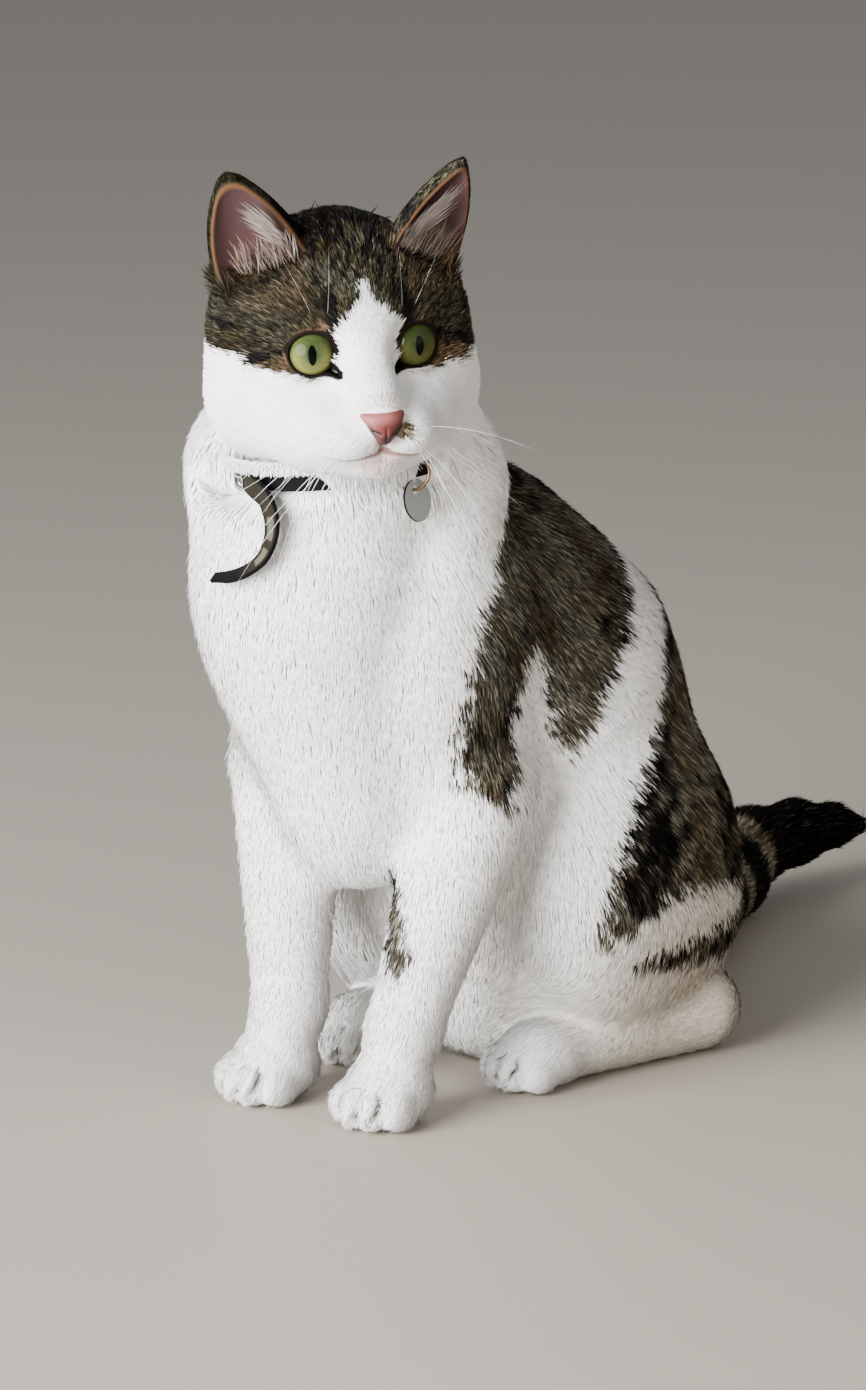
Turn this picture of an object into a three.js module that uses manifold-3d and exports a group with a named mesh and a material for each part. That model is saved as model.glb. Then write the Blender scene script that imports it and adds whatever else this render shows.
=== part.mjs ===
// Sitting domestic cat, life size, with a collar, buckle, loose strap end and tag.
// Millimetres, +Z up. The cat's chest faces -Y and its left side is +X. Sizes are
// given about a point on the floor midway between the forepaws; the whole group is
// moved at the end so its origin is the middle of its box, on the floor.
import * as THREE from 'three';
import { mergeVertices } from 'three/addons/utils/BufferGeometryUtils.js';
import Module from 'manifold-3d';

const wasm = await Module();
wasm.setup();

// ---- driving sizes ----
const gap = 0.3;                       // face to face between neighbouring nodes

const cellOf = { trunk: 4.5, head: 1.6, ear: 1.1, paw: 2.0, foot: 2.4, tail: 3.0 };
const facesOf = { trunk: 4000, head: 3500, ear: 520, forepaw: 520, hindFoot: 820, tail: 760 };
const spareDrift = 0.012;                         // how far dropping a vertex may move the surface
const shortEdge = 0.08;
const floorSnap = 0.25;

// head: its own frame has x to the cat's left, y to the back of the skull, z to the crown
const headAt = [17.4, -14, 320.3];
const headTurn = { yaw: 50, roll: -3 };          // nose to the cat's left, left cheek raised
const skull = {
  cranium: [[0, 8, 6], [46, 44, 44.5]],
  cheek: [[27, 4, -20], [28, 32, 28]],
  brow: [[0, -22, 12], [32, 19, 17]],
  temple: [[32, 6, 8], [18, 28, 24]],
  bridge: [[0, -31, 4], [0, -52.5, -20.5], 12.5, 9],
  pad: [[9.5, -47, -31], [13.5, 14.5, 11]],
  noseTip: [[0, -58.2, -26], [8, 5.6, 6.2]],
  chin: [[0, -40, -41.5], [14, 15, 8]],
  jaw: [[17, -24, -31], [20, 22, 18]],
  hollow: [[25, -45, -1], [13, 11, 11]],
};
const skullSoft = {                               // how softly each form runs into the rest
  cheek: 18, brow: 12, temple: 12, bridge: 14, pad: 7, noseTip: 4, chin: 6, jaw: 12, hollow: 10, lid: 6, slit: 1.2, lips: 2,
};
const eye = { opening: [21.6, -38.3, 0], gaze: [0.17, -0.985, 0], radius: 10.8, lid: 1.8, rings: 10, sides: 16 };
const slit = { halfWidth: 8.8, halfHeight: 8.1, inner: [5, -5, 0], corner: [10.5, -9, 0], rIn: 2.6, rOut: 0.7, mean: 8.4, soft: 2 };
const mouth = [                                   // one side of the lip line, then its radii
  [[0, -61.6, -31.2], [0, -55.7, -36.5], 1.2, 1.3],
  [[0, -55.7, -36.5], [5.2, -57.2, -38.2], 1.4, 1.5],
  [[5.2, -57.2, -38.2], [10.4, -56.2, -39.4], 1.5, 1.6],
  [[10.4, -56.2, -39.4], [14.6, -53.2, -40.2], 1.6, 1.6],
  [[14.6, -53.2, -40.2], [22, -48.4, -38], 1.6, 1.3],
];
const nostril = { at: [4.1, -63.2, -27.2], size: [1.7, 3, 1.2], tilt: 24 };
const headPlane = { normal: [0, -0.35, 0.94], level: -36, spare: 6 };
const headBox = [[-62, -70, -62], [62, 64, 56]];

// ears: base and tip in the head's frame, half width, rounding of the tip
const ears = {
  left: { side: 1, base: [31.4, -7, 33], tip: [46.8, -19, 67], across: [35, 17, -13], half: 17.8, round: 4 },
  right: { side: -1, base: [32, -6, 33], tip: [46.5, -19, 68], across: [35, 14, -12], half: 19.8, round: 9 },
};
const earWall = 2.2;
const earDepth = 17;
const earRoot = 5;                                // height of the cut above the ear's base
const earFloor = -6;
const earCup = { forward: -7, up: 1, soft: 2, rootSoft: 5, skirt: 12, skirtSoft: 4 };
const earRoom = { wide: 56, deep: 60, high: 60, reach: 24, top: 52, under: 3, overlap: 0.8 };

// body: [centre, radii] or [end, end, radius, radius]
const body = {
  withers: [[-4, 50, 222], [1, 82, 200], 46, 53],
  back: [[1, 82, 200], [8, 118, 160], 53, 63],
  loin: [[8, 118, 160], [15, 144, 92], 63, 71],
  rump: [[16, 148, 60.6], [74, 70, 62]],
  breast: [[-14, 12, 218], [54, 52, 80]],
  keel: [[-4, 30, 152], [42, 46, 67]],
  neck: [[2, 15, 272], [54, 49, 42]],
  belly: [[8, 100, 81], [52, 46, 76]],
  ruffRight: [[-38, 16, 260], [36, 40, 36]],
  ruffLeft: [[36, 33, 256], [23.5, 26, 34]],
  fluff: [[14, 104, 36], [36, 36, 34]],           // loose belly coat between the hind feet
};
const bodySoft = {
  back: 30, loin: 30, rump: 16, breast: 22, keel: 24, neck: 14, belly: 24, ruffRight: 14, ruffLeft: 10, fluff: 18,
};
const limbSoft = { trunk: 16, thigh: 6, elbow: 22, wrist: 6, paw: 6, toe: 3.6, head: 12, tail: 8 };
const foreLegs = {
  left: { shoulder: [[36, 42, 186], [27, 40, 60]], elbow: [43, 42, 128], paw: [33.5, -8.5, 0], turn: 2 },
  right: { shoulder: [[-42, 38, 186], [27, 40, 60]], elbow: [-47, 36, 130], paw: [-27, -5, 0], turn: -4 },
};
const wristUp = [1.5, 12, 38];
const pasternUp = [0, 4, 16];
const legR = { elbow: 25, wrist: 15.2, pastern: 15 };
const hindLegs = {
  left: { thigh: [[62, 128, 78], [33, 60, 66]], toes: [52, 73, 0], heel: [75, 161, 0], turn: -15 },
  right: { thigh: [[-44, 121, 76], [35, 62, 66]], toes: [-34, 66, 0], heel: [-56, 158, 0], turn: 14 },
};
const hock = { heelUp: 18, heelR: 19, toeUp: 13.4, toeR: 13.5, split: 26 };
const toe = { xs: [-12.4, -4.4, 4.4, 12.4], ys: [-8, -13.2, -13.2, -8], up: 9.2, size: [6.8, 9.6, 9.6] };
const pad = [[0, 3, 13], [18, 20, 14.5]];
const hindScale = 0.97;
const pawTop = 31;
const legTop = 82;
const legBack = 52;
const waist = { at: [0, 50, 60], normal: [0, 0.68, -0.733] };
const bellyBack = 96;
const thighCut = { middle: 15, out: 33, height: 75, normal: [0.972, 0, -0.233] };

const tail = [                                    // centre line and radius
  [[12, 196, 34], 24], [[6, 240, 22], 20], [[-14, 300, 18], 18.7], [[-36, 360, 18], 18.4],
  [[-46, 397, 24.5], 17.3], [[-39, 424, 27], 14.4], [[-29.5, 441, 28.2], 9.8], [[-22.5, 450, 27.8], 6.2],
];
const tailBox = [[-72, 162, -4], [46, 474, 66]];
const tailCuts = [270, 345];
const tailRoot = 198;
const tailSpare = 0.55;
const trunkBox = [[-92, -72, -9], [114, 236, 333]];
const pawBox = [[-26, -32, -5], [27, 36, 38]];     // about a forepaw's middle
const footBox = { around: 30, low: -6, high: 44 };

// collar
const collar = { at: [4, 8, 266.8], radius: 44.5, thick: 2, high: 8, edge: 0.5, tilt: 6, tiltAlong: 35, sides: 44 };
const neckCut = -16;                              // below the collar's middle, along its axis
const throat = {                                  // coat parted over the collar, by bearing in degrees
  first: -150, last: -8, bared: -34, fade: 6,     // beyond `bared` the coat covers the band again
  ring: 50.4, covered: 54, radius: 8.4, blend: 4,
  roomAt: [48, -10.6, 268.6], roomRadius: 9.4, roomFrom: 45.6,   // space for the tag ring, outside the band
};
const link = { bearing: -31, radius: 45.7, ring: 2.4, wire: 0.8 };
const tagRing = { ring: 7, wire: 0.65, held: 45.9, lean: 0.04 };
const tagDisc = { radius: 8.5, thick: 1, hole: 1.9, offset: 4.3, hangsAt: -80, swing: 14, turn: 54 };
const buckle = { bearing: -127, wide: 13, high: 11, bar: 1.6, thick: 1.4, pin: 0.5, stand: 44.85 };
const strap = {                                   // loose end: centre line, then its section
  line: [[-16.4, -33.2, 262.6], [-9.8, -37.8, 261.4], [-2.2, -40.4, 258.1], [0.8, -40.6, 253.3], [2.4, -41, 247.5],
    [2.1, -41.9, 241.2], [-0.6, -43.3, 234.3], [-6.2, -44.6, 229.3], [-13.9, -44.9, 225.8], [-25.3, -43.1, 223.5]],
  wide: 9.4, thick: 1.5, steps: 22, turned: 0.3, lean: 33,
};
const facing = 35;                                // bearing that the tag and strap end are turned to
const rise = 12;

// ---- small vector helpers ----
const rad = (deg) => (deg * Math.PI) / 180;
const add = (a, b, k = 1) => [a[0] + b[0] * k, a[1] + b[1] * k, a[2] + b[2] * k];
const sub = (a, b) => [a[0] - b[0], a[1] - b[1], a[2] - b[2]];
const dot = (a, b) => a[0] * b[0] + a[1] * b[1] + a[2] * b[2];
const cross = (a, b) => [a[1] * b[2] - a[2] * b[1], a[2] * b[0] - a[0] * b[2], a[0] * b[1] - a[1] * b[0]];
const size = (a) => Math.hypot(a[0], a[1], a[2]);
const unit = (a) => a.map((v) => v / size(a));

const headFrame = new THREE.Matrix4()
  .makeRotationFromEuler(new THREE.Euler(0, rad(headTurn.roll), rad(headTurn.yaw), 'ZYX'))
  .setPosition(...headAt);
const headBack = headFrame.clone().invert();
const move = (m, p) => {
  const e = m.elements;
  return [0, 1, 2].map((i) => e[i] * p[0] + e[4 + i] * p[1] + e[8 + i] * p[2] + e[12 + i]);
};
const toHead = (p) => move(headBack, p);
const fromHead = (p) => move(headFrame, p);
const turnFromHead = (n) => sub(fromHead(n), headAt);

// ---- distance-like shapes: negative inside ----
const join = (a, b, k) => {
  const h = Math.max(k - Math.abs(a - b), 0) / k;
  return Math.min(a, b) - h * h * k * 0.25;
};
const carve = (a, b, k) => -join(-a, b, k);       // takes b out of a
const both = (a, b, k) => -join(-a, -b, k);

function blob(p, [c, r]) {
  const x = p[0] - c[0];
  const y = p[1] - c[1];
  const z = p[2] - c[2];
  const k0 = Math.hypot(x / r[0], y / r[1], z / r[2]);
  const k1 = Math.hypot(x / (r[0] * r[0]), y / (r[1] * r[1]), z / (r[2] * r[2]));
  return (k0 * (k0 - 1)) / Math.max(k1, 1e-9);
}

function limb(p, [a, b, ra, rb]) {
  const bx = b[0] - a[0];
  const by = b[1] - a[1];
  const bz = b[2] - a[2];
  const px = p[0] - a[0];
  const py = p[1] - a[1];
  const pz = p[2] - a[2];
  const h = Math.min(1, Math.max(0, (px * bx + py * by + pz * bz) / (bx * bx + by * by + bz * bz)));
  return Math.hypot(px - h * bx, py - h * by, pz - h * bz) - (ra + (rb - ra) * h);
}

// ---- head ----
const gaze = unit(eye.gaze);
const gazeSide = unit(cross(gaze, [0, 0, 1]));
const eyeCentre = add(eye.opening, gaze, -eye.radius);

function lidOpening(a) {
  const w = sub(a, eyeCentre);
  const u = dot(w, gazeSide);
  const v = w[2];
  const almond = (Math.hypot(u / slit.halfWidth, v / slit.halfHeight) - 1) * slit.mean;
  const canthus = limb([u, v, 0], [slit.inner, slit.corner, slit.rIn, slit.rOut]);
  return Math.max(join(almond, canthus, slit.soft), -dot(w, gaze));
}

function headShape(q) {
  const a = [Math.abs(q[0]), q[1], q[2]];
  let d = blob(q, skull.cranium);
  for (const form of ['cheek', 'brow', 'temple']) d = join(d, blob(a, skull[form]), skullSoft[form]);
  d = join(d, limb(q, skull.bridge), skullSoft.bridge);
  for (const form of ['pad', 'noseTip', 'chin', 'jaw']) d = join(d, blob(a, skull[form]), skullSoft[form]);
  d = carve(d, blob(a, skull.hollow), skullSoft.hollow);
  d = join(d, size(sub(a, eyeCentre)) - eye.radius - eye.lid, skullSoft.lid);
  d = carve(d, lidOpening(a), skullSoft.slit);
  return carve(d, Math.min(...mouth.map((m) => limb(a, m))), skullSoft.lips);
}

// ear: a cupped leaf between two large spheres, hollowed from the front
function earFrame(ear) {
  const up = unit(sub(ear.tip, ear.base));
  const out = unit(add(ear.across, up, -dot(ear.across, up)));
  return { up, out, rear: cross(up, out), high: size(sub(ear.tip, ear.base)) };
}
function earShape(q, ear, frame) {
  const m = sub([q[0] * ear.side, q[1], q[2]], ear.base);
  const l = [dot(m, frame.out), dot(m, frame.rear), dot(m, frame.up) + 4];
  const high = frame.high + 5 + ear.round * 0.6;
  const big = (ear.half + (high * high) / ear.half) / 2;
  const c = big - ear.half;
  const leaf = both(blob(l, [[c, 0, 0], [big, earDepth, big]]), blob(l, [[-c, 0, 0], [big, earDepth, big]]), ear.round);
  const inner = [big - earWall, earDepth + 2, big - earWall];
  const { forward, up, skirt, skirtSoft } = earCup;
  const cup = both(blob(l, [[c, forward, up], inner]), blob(l, [[-c, forward, up], inner]), ear.round);
  return { outer: both(leaf, -(l[2] + skirt), skirtSoft), cup: both(cup, earFloor - l[2], skirtSoft) };
}
Object.values(ears).forEach((ear) => { ear.frame = earFrame(ear); });

const collarAxis = [-Math.sin(rad(collar.tilt)) * Math.cos(rad(collar.tiltAlong)),
  -Math.sin(rad(collar.tilt)) * Math.sin(rad(collar.tiltAlong)), Math.cos(rad(collar.tilt))];
const collarGroup = new THREE.Group();
collarGroup.position.set(...collar.at);
collarGroup.quaternion.setFromUnitVectors(new THREE.Vector3(0, 0, 1), new THREE.Vector3(...collarAxis));
collarGroup.updateMatrix();
const collarFrame = collarGroup.matrix.clone();
const collarBack = collarFrame.clone().invert();

function throatGroove(p) {
  const w = move(collarBack, p);
  const far = Math.hypot(w[0], w[1]);
  const bearing = Math.atan2(w[1], w[0]) / rad(1);
  const cover = Math.min(1, Math.max(0, (bearing - throat.bared) / throat.fade));
  const tube = Math.hypot(far - throat.ring - (throat.covered - throat.ring) * cover, w[2]) - throat.radius;
  const groove = Math.max(tube, rad(throat.first - bearing) * throat.ring, rad(bearing - throat.last) * throat.ring);
  return Math.min(groove, Math.max(size(sub(p, throat.roomAt)) - throat.roomRadius, throat.roomFrom - far));
}

// ---- body ----
function torsoShape(p) {
  let d = limb(p, body.withers);
  for (const form of ['back', 'loin']) d = join(d, limb(p, body[form]), bodySoft[form]);
  for (const form of ['rump', 'breast', 'keel', 'neck', 'belly', 'ruffRight', 'ruffLeft', 'fluff']) {
    d = join(d, blob(p, body[form]), bodySoft[form]);
  }
  return d;
}
function foreLegShape(p, leg) {
  const wrist = add(leg.paw, wristUp);
  let d = blob(p, leg.shoulder);
  d = join(d, limb(p, [leg.elbow, wrist, legR.elbow, legR.wrist]), limbSoft.elbow);
  return join(d, limb(p, [wrist, add(leg.paw, pasternUp), legR.wrist, legR.pastern]), limbSoft.wrist);
}
function trunkShape(p) {
  let legs = Math.min(foreLegShape(p, foreLegs.left), foreLegShape(p, foreLegs.right));
  for (const leg of Object.values(hindLegs)) legs = join(legs, blob(p, leg.thigh), limbSoft.thigh);
  const d = join(join(torsoShape(p), legs, limbSoft.trunk), headShape(toHead(p)), limbSoft.head);
  return carve(d, throatGroove(p), throat.blend);
}
function pawShape(p, at, turn, scale = 1) {
  const m = sub(p, at);
  const c = Math.cos(rad(turn));
  const s = Math.sin(rad(turn));
  const q = [m[0] * c + m[1] * s, m[1] * c - m[0] * s, m[2]];
  let d = blob(q, [pad[0], pad[1].map((r) => r * scale)]);
  toe.xs.forEach((x, i) => { d = join(d, blob(q, [[x * scale, toe.ys[i], toe.up], toe.size]), limbSoft.toe); });
  return d;
}
function hindFootShape(p, leg) {
  const bone = [add(leg.heel, [0, 0, hock.heelUp]), add(leg.toes, [0, 0, hock.toeUp]), hock.heelR, hock.toeR];
  return join(limb(p, bone), pawShape(p, leg.toes, leg.turn, hindScale), limbSoft.paw);
}
function tailShape(p) {
  let d = 1e3;
  for (let i = 0; i + 1 < tail.length; i += 1) {
    d = join(d, limb(p, [tail[i][0], tail[i + 1][0], tail[i][1], tail[i + 1][1]]), limbSoft.tail);
  }
  return d;
}

// ---- surface of a field: each cell is six tetrahedra about its long diagonal ----
const paths = [[1, 3], [2, 6], [4, 5], [3, 2], [6, 4], [5, 1]];
const single = [[0, 1, 2, 3], [1, 0, 3, 2], [2, 3, 0, 1], [3, 2, 1, 0]];
const pairs = [[0, 1, 2, 3], [0, 2, 3, 1], [0, 3, 1, 2], [1, 2, 0, 3], [1, 3, 2, 0], [2, 3, 0, 1]];

function surface(field, lo, hi, cell) {
  const n = lo.map((v, i) => Math.ceil((hi[i] - v) / cell) + 1);
  const step = [1, n[0], n[0] * n[1]];
  const value = new Float64Array(n[0] * n[1] * n[2]);
  let node = 0;
  for (let k = 0; k < n[2]; k += 1) {
    for (let j = 0; j < n[1]; j += 1) {
      for (let i = 0; i < n[0]; i += 1) {
        const v = field([lo[0] + i * cell, lo[1] + j * cell, lo[2] + k * cell]);
        const rim = !i || !j || !k || i === n[0] - 1 || j === n[1] - 1 || k === n[2] - 1;
        value[node] = rim ? Math.max(v, cell * 0.3) : v;
        node += 1;
      }
    }
  }
  const offset = (bits) => (bits & 1) * step[0] + ((bits >> 1) & 1) * step[1] + ((bits >> 2) & 1) * step[2];
  const offsets = [0, 1, 2, 3, 4, 5, 6, 7].map(offset);
  const points = [];
  const faces = [];
  const known = new Map();
  const place = (m) => [lo[0] + (m % n[0]) * cell, lo[1] + (Math.floor(m / step[1]) % n[1]) * cell, lo[2] + Math.floor(m / step[2]) * cell];
  const crossing = (base, a, b) => {
    const low = Math.min(a, b);
    const high = Math.max(a, b);
    const m = base + offsets[low];
    const key = m * 8 + (low ^ high);
    if (!known.has(key)) {
      const v0 = value[m];
      const v1 = value[base + offsets[high]];
      const t = Math.min(0.95, Math.max(0.05, v0 / (v0 - v1)));
      const p0 = place(m);
      known.set(key, points.length);
      points.push(add(p0, sub(place(base + offsets[high]), p0), t));
    }
    return known.get(key);
  };
  for (let k = 0; k < n[2] - 1; k += 1) {
    for (let j = 0; j < n[1] - 1; j += 1) {
      for (let i = 0; i < n[0] - 1; i += 1) {
        const base = i + j * step[1] + k * step[2];
        let inside = 0;
        for (let c = 0; c < 8; c += 1) inside += value[base + offsets[c]] < 0 ? 1 : 0;
        if (inside === 0 || inside === 8) continue;
        for (const path of paths) {
          const tet = [0, path[0], path[1], 7];
          const inn = tet.map((c) => value[base + offsets[c]] < 0);
          const count = inn.filter(Boolean).length;
          if (count === 0 || count === 4) continue;
          if (count === 2) {
            const order = pairs.find((o) => inn[o[0]] && inn[o[1]]);
            const [a, b, c, d] = order.map((o) => tet[o]);
            const ac = crossing(base, a, c);
            const ad = crossing(base, a, d);
            const bd = crossing(base, b, d);
            const bc = crossing(base, b, c);
            faces.push([ac, ad, bd], [ac, bd, bc]);
          } else {
            const alone = single.find((o) => inn[o[0]] === (count === 1));
            const [a, b, c, d] = alone.map((o) => tet[o]);
            const ab = crossing(base, a, b);
            const ac = crossing(base, a, c);
            const ad = crossing(base, a, d);
            faces.push(count === 1 ? [ab, ac, ad] : [ab, ad, ac]);
          }
        }
      }
    }
  }
  return { points, faces };
}

// ---- edge collapses: fewer faces, or no very short edges ----
function faceNormal(a, b, c) {
  return cross(sub(b, a), sub(c, a));
}

class Shell {
  constructor({ points, faces }) {
    this.points = points.map((p) => [...p]);
    this.faces = faces.map((f) => [...f]);
    this.count = faces.length;
    this.ring = points.map(() => new Set());
    this.error = points.map(() => new Float64Array(10));
    this.stamp = new Int32Array(points.length);
    this.faces.forEach((f, i) => {
      f.forEach((v) => this.ring[v].add(i));
      const n = faceNormal(...f.map((v) => this.points[v]));
      const area = size(n);
      if (area < 1e-12) return;
      const [a, b, c] = n.map((x) => x / area);
      const d = -dot([a, b, c], this.points[f[0]]);
      const q = [a * a, a * b, a * c, a * d, b * b, b * c, b * d, c * c, c * d, d * d];
      f.forEach((v) => { for (let k = 0; k < 10; k += 1) this.error[v][k] += q[k] * area; });
    });
  }

  around(v) {
    const out = new Set();
    this.ring[v].forEach((f) => this.faces[f].forEach((w) => { if (w !== v) out.add(w); }));
    return out;
  }

  // best place for the merged vertex and its cost
  merge(a, b) {
    const q = new Float64Array(10);
    for (let k = 0; k < 10; k += 1) q[k] = this.error[a][k] + this.error[b][k];
    const pa = this.points[a];
    const pb = this.points[b];
    const cost = ([x, y, z]) => q[0] * x * x + 2 * q[1] * x * y + 2 * q[2] * x * z + 2 * q[3] * x
      + q[4] * y * y + 2 * q[5] * y * z + 2 * q[6] * y + q[7] * z * z + 2 * q[8] * z + q[9];
    const choices = [pa, pb, add(pa, sub(pb, pa), 0.5)];
    const det = q[0] * (q[4] * q[7] - q[5] * q[5]) - q[1] * (q[1] * q[7] - q[5] * q[2]) + q[2] * (q[1] * q[5] - q[4] * q[2]);
    const scale = (q[0] + q[4] + q[7]) / 3;
    const reach = size(sub(pa, pb));
    if (Math.abs(det) > 1e-3 * scale * scale * scale) {
      const r = [-q[3], -q[6], -q[8]];
      const x = (r[0] * (q[4] * q[7] - q[5] * q[5]) - q[1] * (r[1] * q[7] - q[5] * r[2]) + q[2] * (r[1] * q[5] - q[4] * r[2])) / det;
      const y = (q[0] * (r[1] * q[7] - r[2] * q[5]) - r[0] * (q[1] * q[7] - q[5] * q[2]) + q[2] * (q[1] * r[2] - r[1] * q[2])) / det;
      const z = (q[0] * (q[4] * r[2] - r[1] * q[5]) - q[1] * (q[1] * r[2] - r[1] * q[2]) + r[0] * (q[1] * q[5] - q[4] * q[2])) / det;
      const best = [x, y, z];
      if (size(sub(best, choices[2])) < reach * 1.5) choices.push(best);
    }
    let at = choices[0];
    let low = Infinity;
    choices.forEach((c) => { const e = cost(c); if (e < low) { low = e; at = c; } });
    return { at: [...at], cost: Math.max(low, 0) + 2e-3 * reach * reach, drift: Math.sqrt(Math.max(low, 0) / (q[0] + q[4] + q[7])), q };
  }

  fits(a, b, at) {
    const ringA = this.around(a);
    const ringB = this.around(b);
    let shared = 0;
    ringA.forEach((v) => { if (ringB.has(v)) shared += 1; });
    if (shared !== 2) return false;
    for (const [v, w] of [[a, b], [b, a]]) {
      for (const f of this.ring[v]) {
        const face = this.faces[f];
        if (face.includes(w)) continue;
        const old = face.map((u) => this.points[u]);
        const now = face.map((u) => (u === v ? at : this.points[u]));
        const n0 = faceNormal(...old);
        const n1 = faceNormal(...now);
        const s1 = size(n1);
        if (size(n0) > 1e-7 && dot(n0, n1) < 0.25 * size(n0) * s1) return false;
        const longest = Math.max(size(sub(now[0], now[1])), size(sub(now[1], now[2])), size(sub(now[2], now[0])));
        if (s1 < 0.02 * longest * longest && s1 < size(n0)) return false;
      }
    }
    return true;
  }

  collapse(a, b, at, q) {
    for (const f of [...this.ring[b]]) {
      const face = this.faces[f];
      if (face.includes(a)) {
        face.forEach((v) => this.ring[v].delete(f));
        this.faces[f] = null;
        this.count -= 1;
      } else {
        face[face.indexOf(b)] = a;
        this.ring[a].add(f);
      }
    }
    this.ring[b] = new Set();
    this.points[a] = at;
    this.error[a] = q;
    this.stamp[a] += 1;
    this.stamp[b] += 1;
  }

  result() {
    const index = new Map();
    const points = [];
    const faces = this.faces.filter(Boolean).map((f) => f.map((v) => {
      if (!index.has(v)) { index.set(v, points.length); points.push(this.points[v]); }
      return index.get(v);
    }));
    return { points, faces };
  }
}

function heapPush(heap, item) {
  let i = heap.length;
  heap.push(item);
  while (i > 0) {
    const up = (i - 1) >> 1;
    if (heap[up].cost <= item.cost) break;
    heap[i] = heap[up];
    i = up;
  }
  heap[i] = item;
}
function heapPop(heap) {
  const top = heap[0];
  const last = heap.pop();
  if (heap.length) {
    let i = 0;
    for (;;) {
      let c = 2 * i + 1;
      if (c >= heap.length) break;
      if (c + 1 < heap.length && heap[c + 1].cost < heap[c].cost) c += 1;
      if (heap[c].cost >= last.cost) break;
      heap[i] = heap[c];
      i = c;
    }
    heap[i] = last;
  }
  return top;
}

// stops at the wanted number of faces, and never moves the surface by more than `limit`
function simplify(mesh, wanted, limit = Infinity) {
  const shell = new Shell(mesh);
  const heap = [];
  const offer = (a, b) => {
    const m = shell.merge(a, b);
    if (m.drift > limit) return;
    heapPush(heap, { cost: m.cost, a, b, sa: shell.stamp[a], sb: shell.stamp[b], at: m.at, q: m.q });
  };
  shell.faces.forEach((f) => f.forEach((v, i) => { const w = f[(i + 1) % 3]; if (v < w) offer(v, w); }));
  while (heap.length && shell.count > wanted) {
    const e = heapPop(heap);
    if (shell.stamp[e.a] !== e.sa || shell.stamp[e.b] !== e.sb) continue;
    if (!shell.fits(e.a, e.b, e.at)) continue;
    shell.collapse(e.a, e.b, e.at, e.q);
    shell.around(e.a).forEach((v) => offer(e.a, v));
  }
  return shell.result();
}

function withoutShortEdges(mesh, shortest) {
  const shell = new Shell(mesh);
  let changed = true;
  while (changed) {
    changed = false;
    for (let f = 0; f < shell.faces.length; f += 1) {
      for (let i = 0; i < 3 && shell.faces[f]; i += 1) {
        const a = shell.faces[f][i];
        const b = shell.faces[f][(i + 1) % 3];
        if (size(sub(shell.points[a], shell.points[b])) < shortest) {
          const m = shell.merge(a, b);
          const at = [shell.points[a], shell.points[b]].map((p) => [...p]).find((p) => shell.fits(a, b, p));
          if (at) {
            shell.collapse(a, b, at, m.q);
            changed = true;
          }
        }
      }
    }
  }
  return shell.result();
}

// moves each vertex onto the field's zero level
function settle(mesh, field, reach = 1.5) {
  const e = 0.05;
  mesh.points = mesh.points.map((p) => {
    let at = p;
    for (let turn = 0; turn < 2; turn += 1) {
      const v = field(at);
      const g = [0, 1, 2].map((k) => {
        const step = [0, 0, 0];
        step[k] = e;
        return (field(add(at, step)) - field(add(at, step, -1))) / (2 * e);
      });
      const slope = dot(g, g);
      if (slope > 0.04 && Math.abs(v) < reach) at = add(at, g, -v / slope);
    }
    return at;
  });
  return mesh;
}

function sculpt(field, lo, hi, cell, wanted) {
  return settle(simplify(surface(field, lo, hi, cell), wanted), field);
}

// ---- joining and cutting ----
function solid({ points, faces }) {
  return new wasm.Manifold(new wasm.Mesh({
    numProp: 3,
    vertProperties: new Float32Array(points.flat()),
    triVerts: new Uint32Array(faces.flat()),
  }));
}

function shapeOf(geometry) {
  const g = geometry.clone();
  Object.keys(g.attributes).filter((k) => k !== 'position').forEach((k) => g.deleteAttribute(k));
  const m = mergeVertices(g, 1e-4);
  const points = [];
  for (let i = 0; i < m.attributes.position.count; i += 1) points.push(new THREE.Vector3().fromBufferAttribute(m.attributes.position, i).toArray());
  const faces = [];
  for (let i = 0; i < m.index.count; i += 3) {
    const f = [m.index.getX(i), m.index.getX(i + 1), m.index.getX(i + 2)];
    if (new Set(f).size === 3) faces.push(f);
  }
  let volume = 0;
  faces.forEach((f) => { volume += dot(points[f[0]], cross(points[f[1]], points[f[2]])); });
  if (volume < 0) faces.forEach((f) => f.reverse());
  return { points, faces };
}

// everything on the near side of a plane: (p - at) . normal < 0
function below(at, normal) {
  const reach = 1400;
  const n = new THREE.Vector3(...normal).normalize();
  const box = new THREE.BoxGeometry(reach, reach, reach).translate(0, 0, -reach / 2);
  box.applyQuaternion(new THREE.Quaternion().setFromUnitVectors(new THREE.Vector3(0, 0, 1), n));
  return solid(shapeOf(box.translate(...at)));
}
const beyond = (at, normal) => below(at, normal.map((v) => -v));
const cutAt = (at, normal, side) => add(at, unit(normal), (side * gap) / 2);
const under = (body3, at, normal) => body3.intersect(below(cutAt(at, normal, -1), normal));
const over = (body3, at, normal) => body3.intersect(beyond(cutAt(at, normal, 1), normal));

function largest(shape) {
  return shape.decompose().sort((a, b) => b.volume() - a.volume())[0];
}
// faces of a cut shape; whatever ends close to the floor is laid flat on it
function meshOf(shape, onFloor = false) {
  const m = shape.getMesh();
  const points = [];
  for (let i = 0; i < m.vertProperties.length; i += m.numProp) points.push([...m.vertProperties.slice(i, i + 3)]);
  const faces = [];
  for (let i = 0; i < m.triVerts.length; i += 3) faces.push([...m.triVerts.slice(i, i + 3)]);
  const mesh = withoutShortEdges(simplify({ points, faces }, 0, spareDrift), shortEdge);
  if (onFloor) mesh.points.forEach((p) => { if (p[2] < floorSnap) p[2] = 0; });
  return mesh;
}

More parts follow.
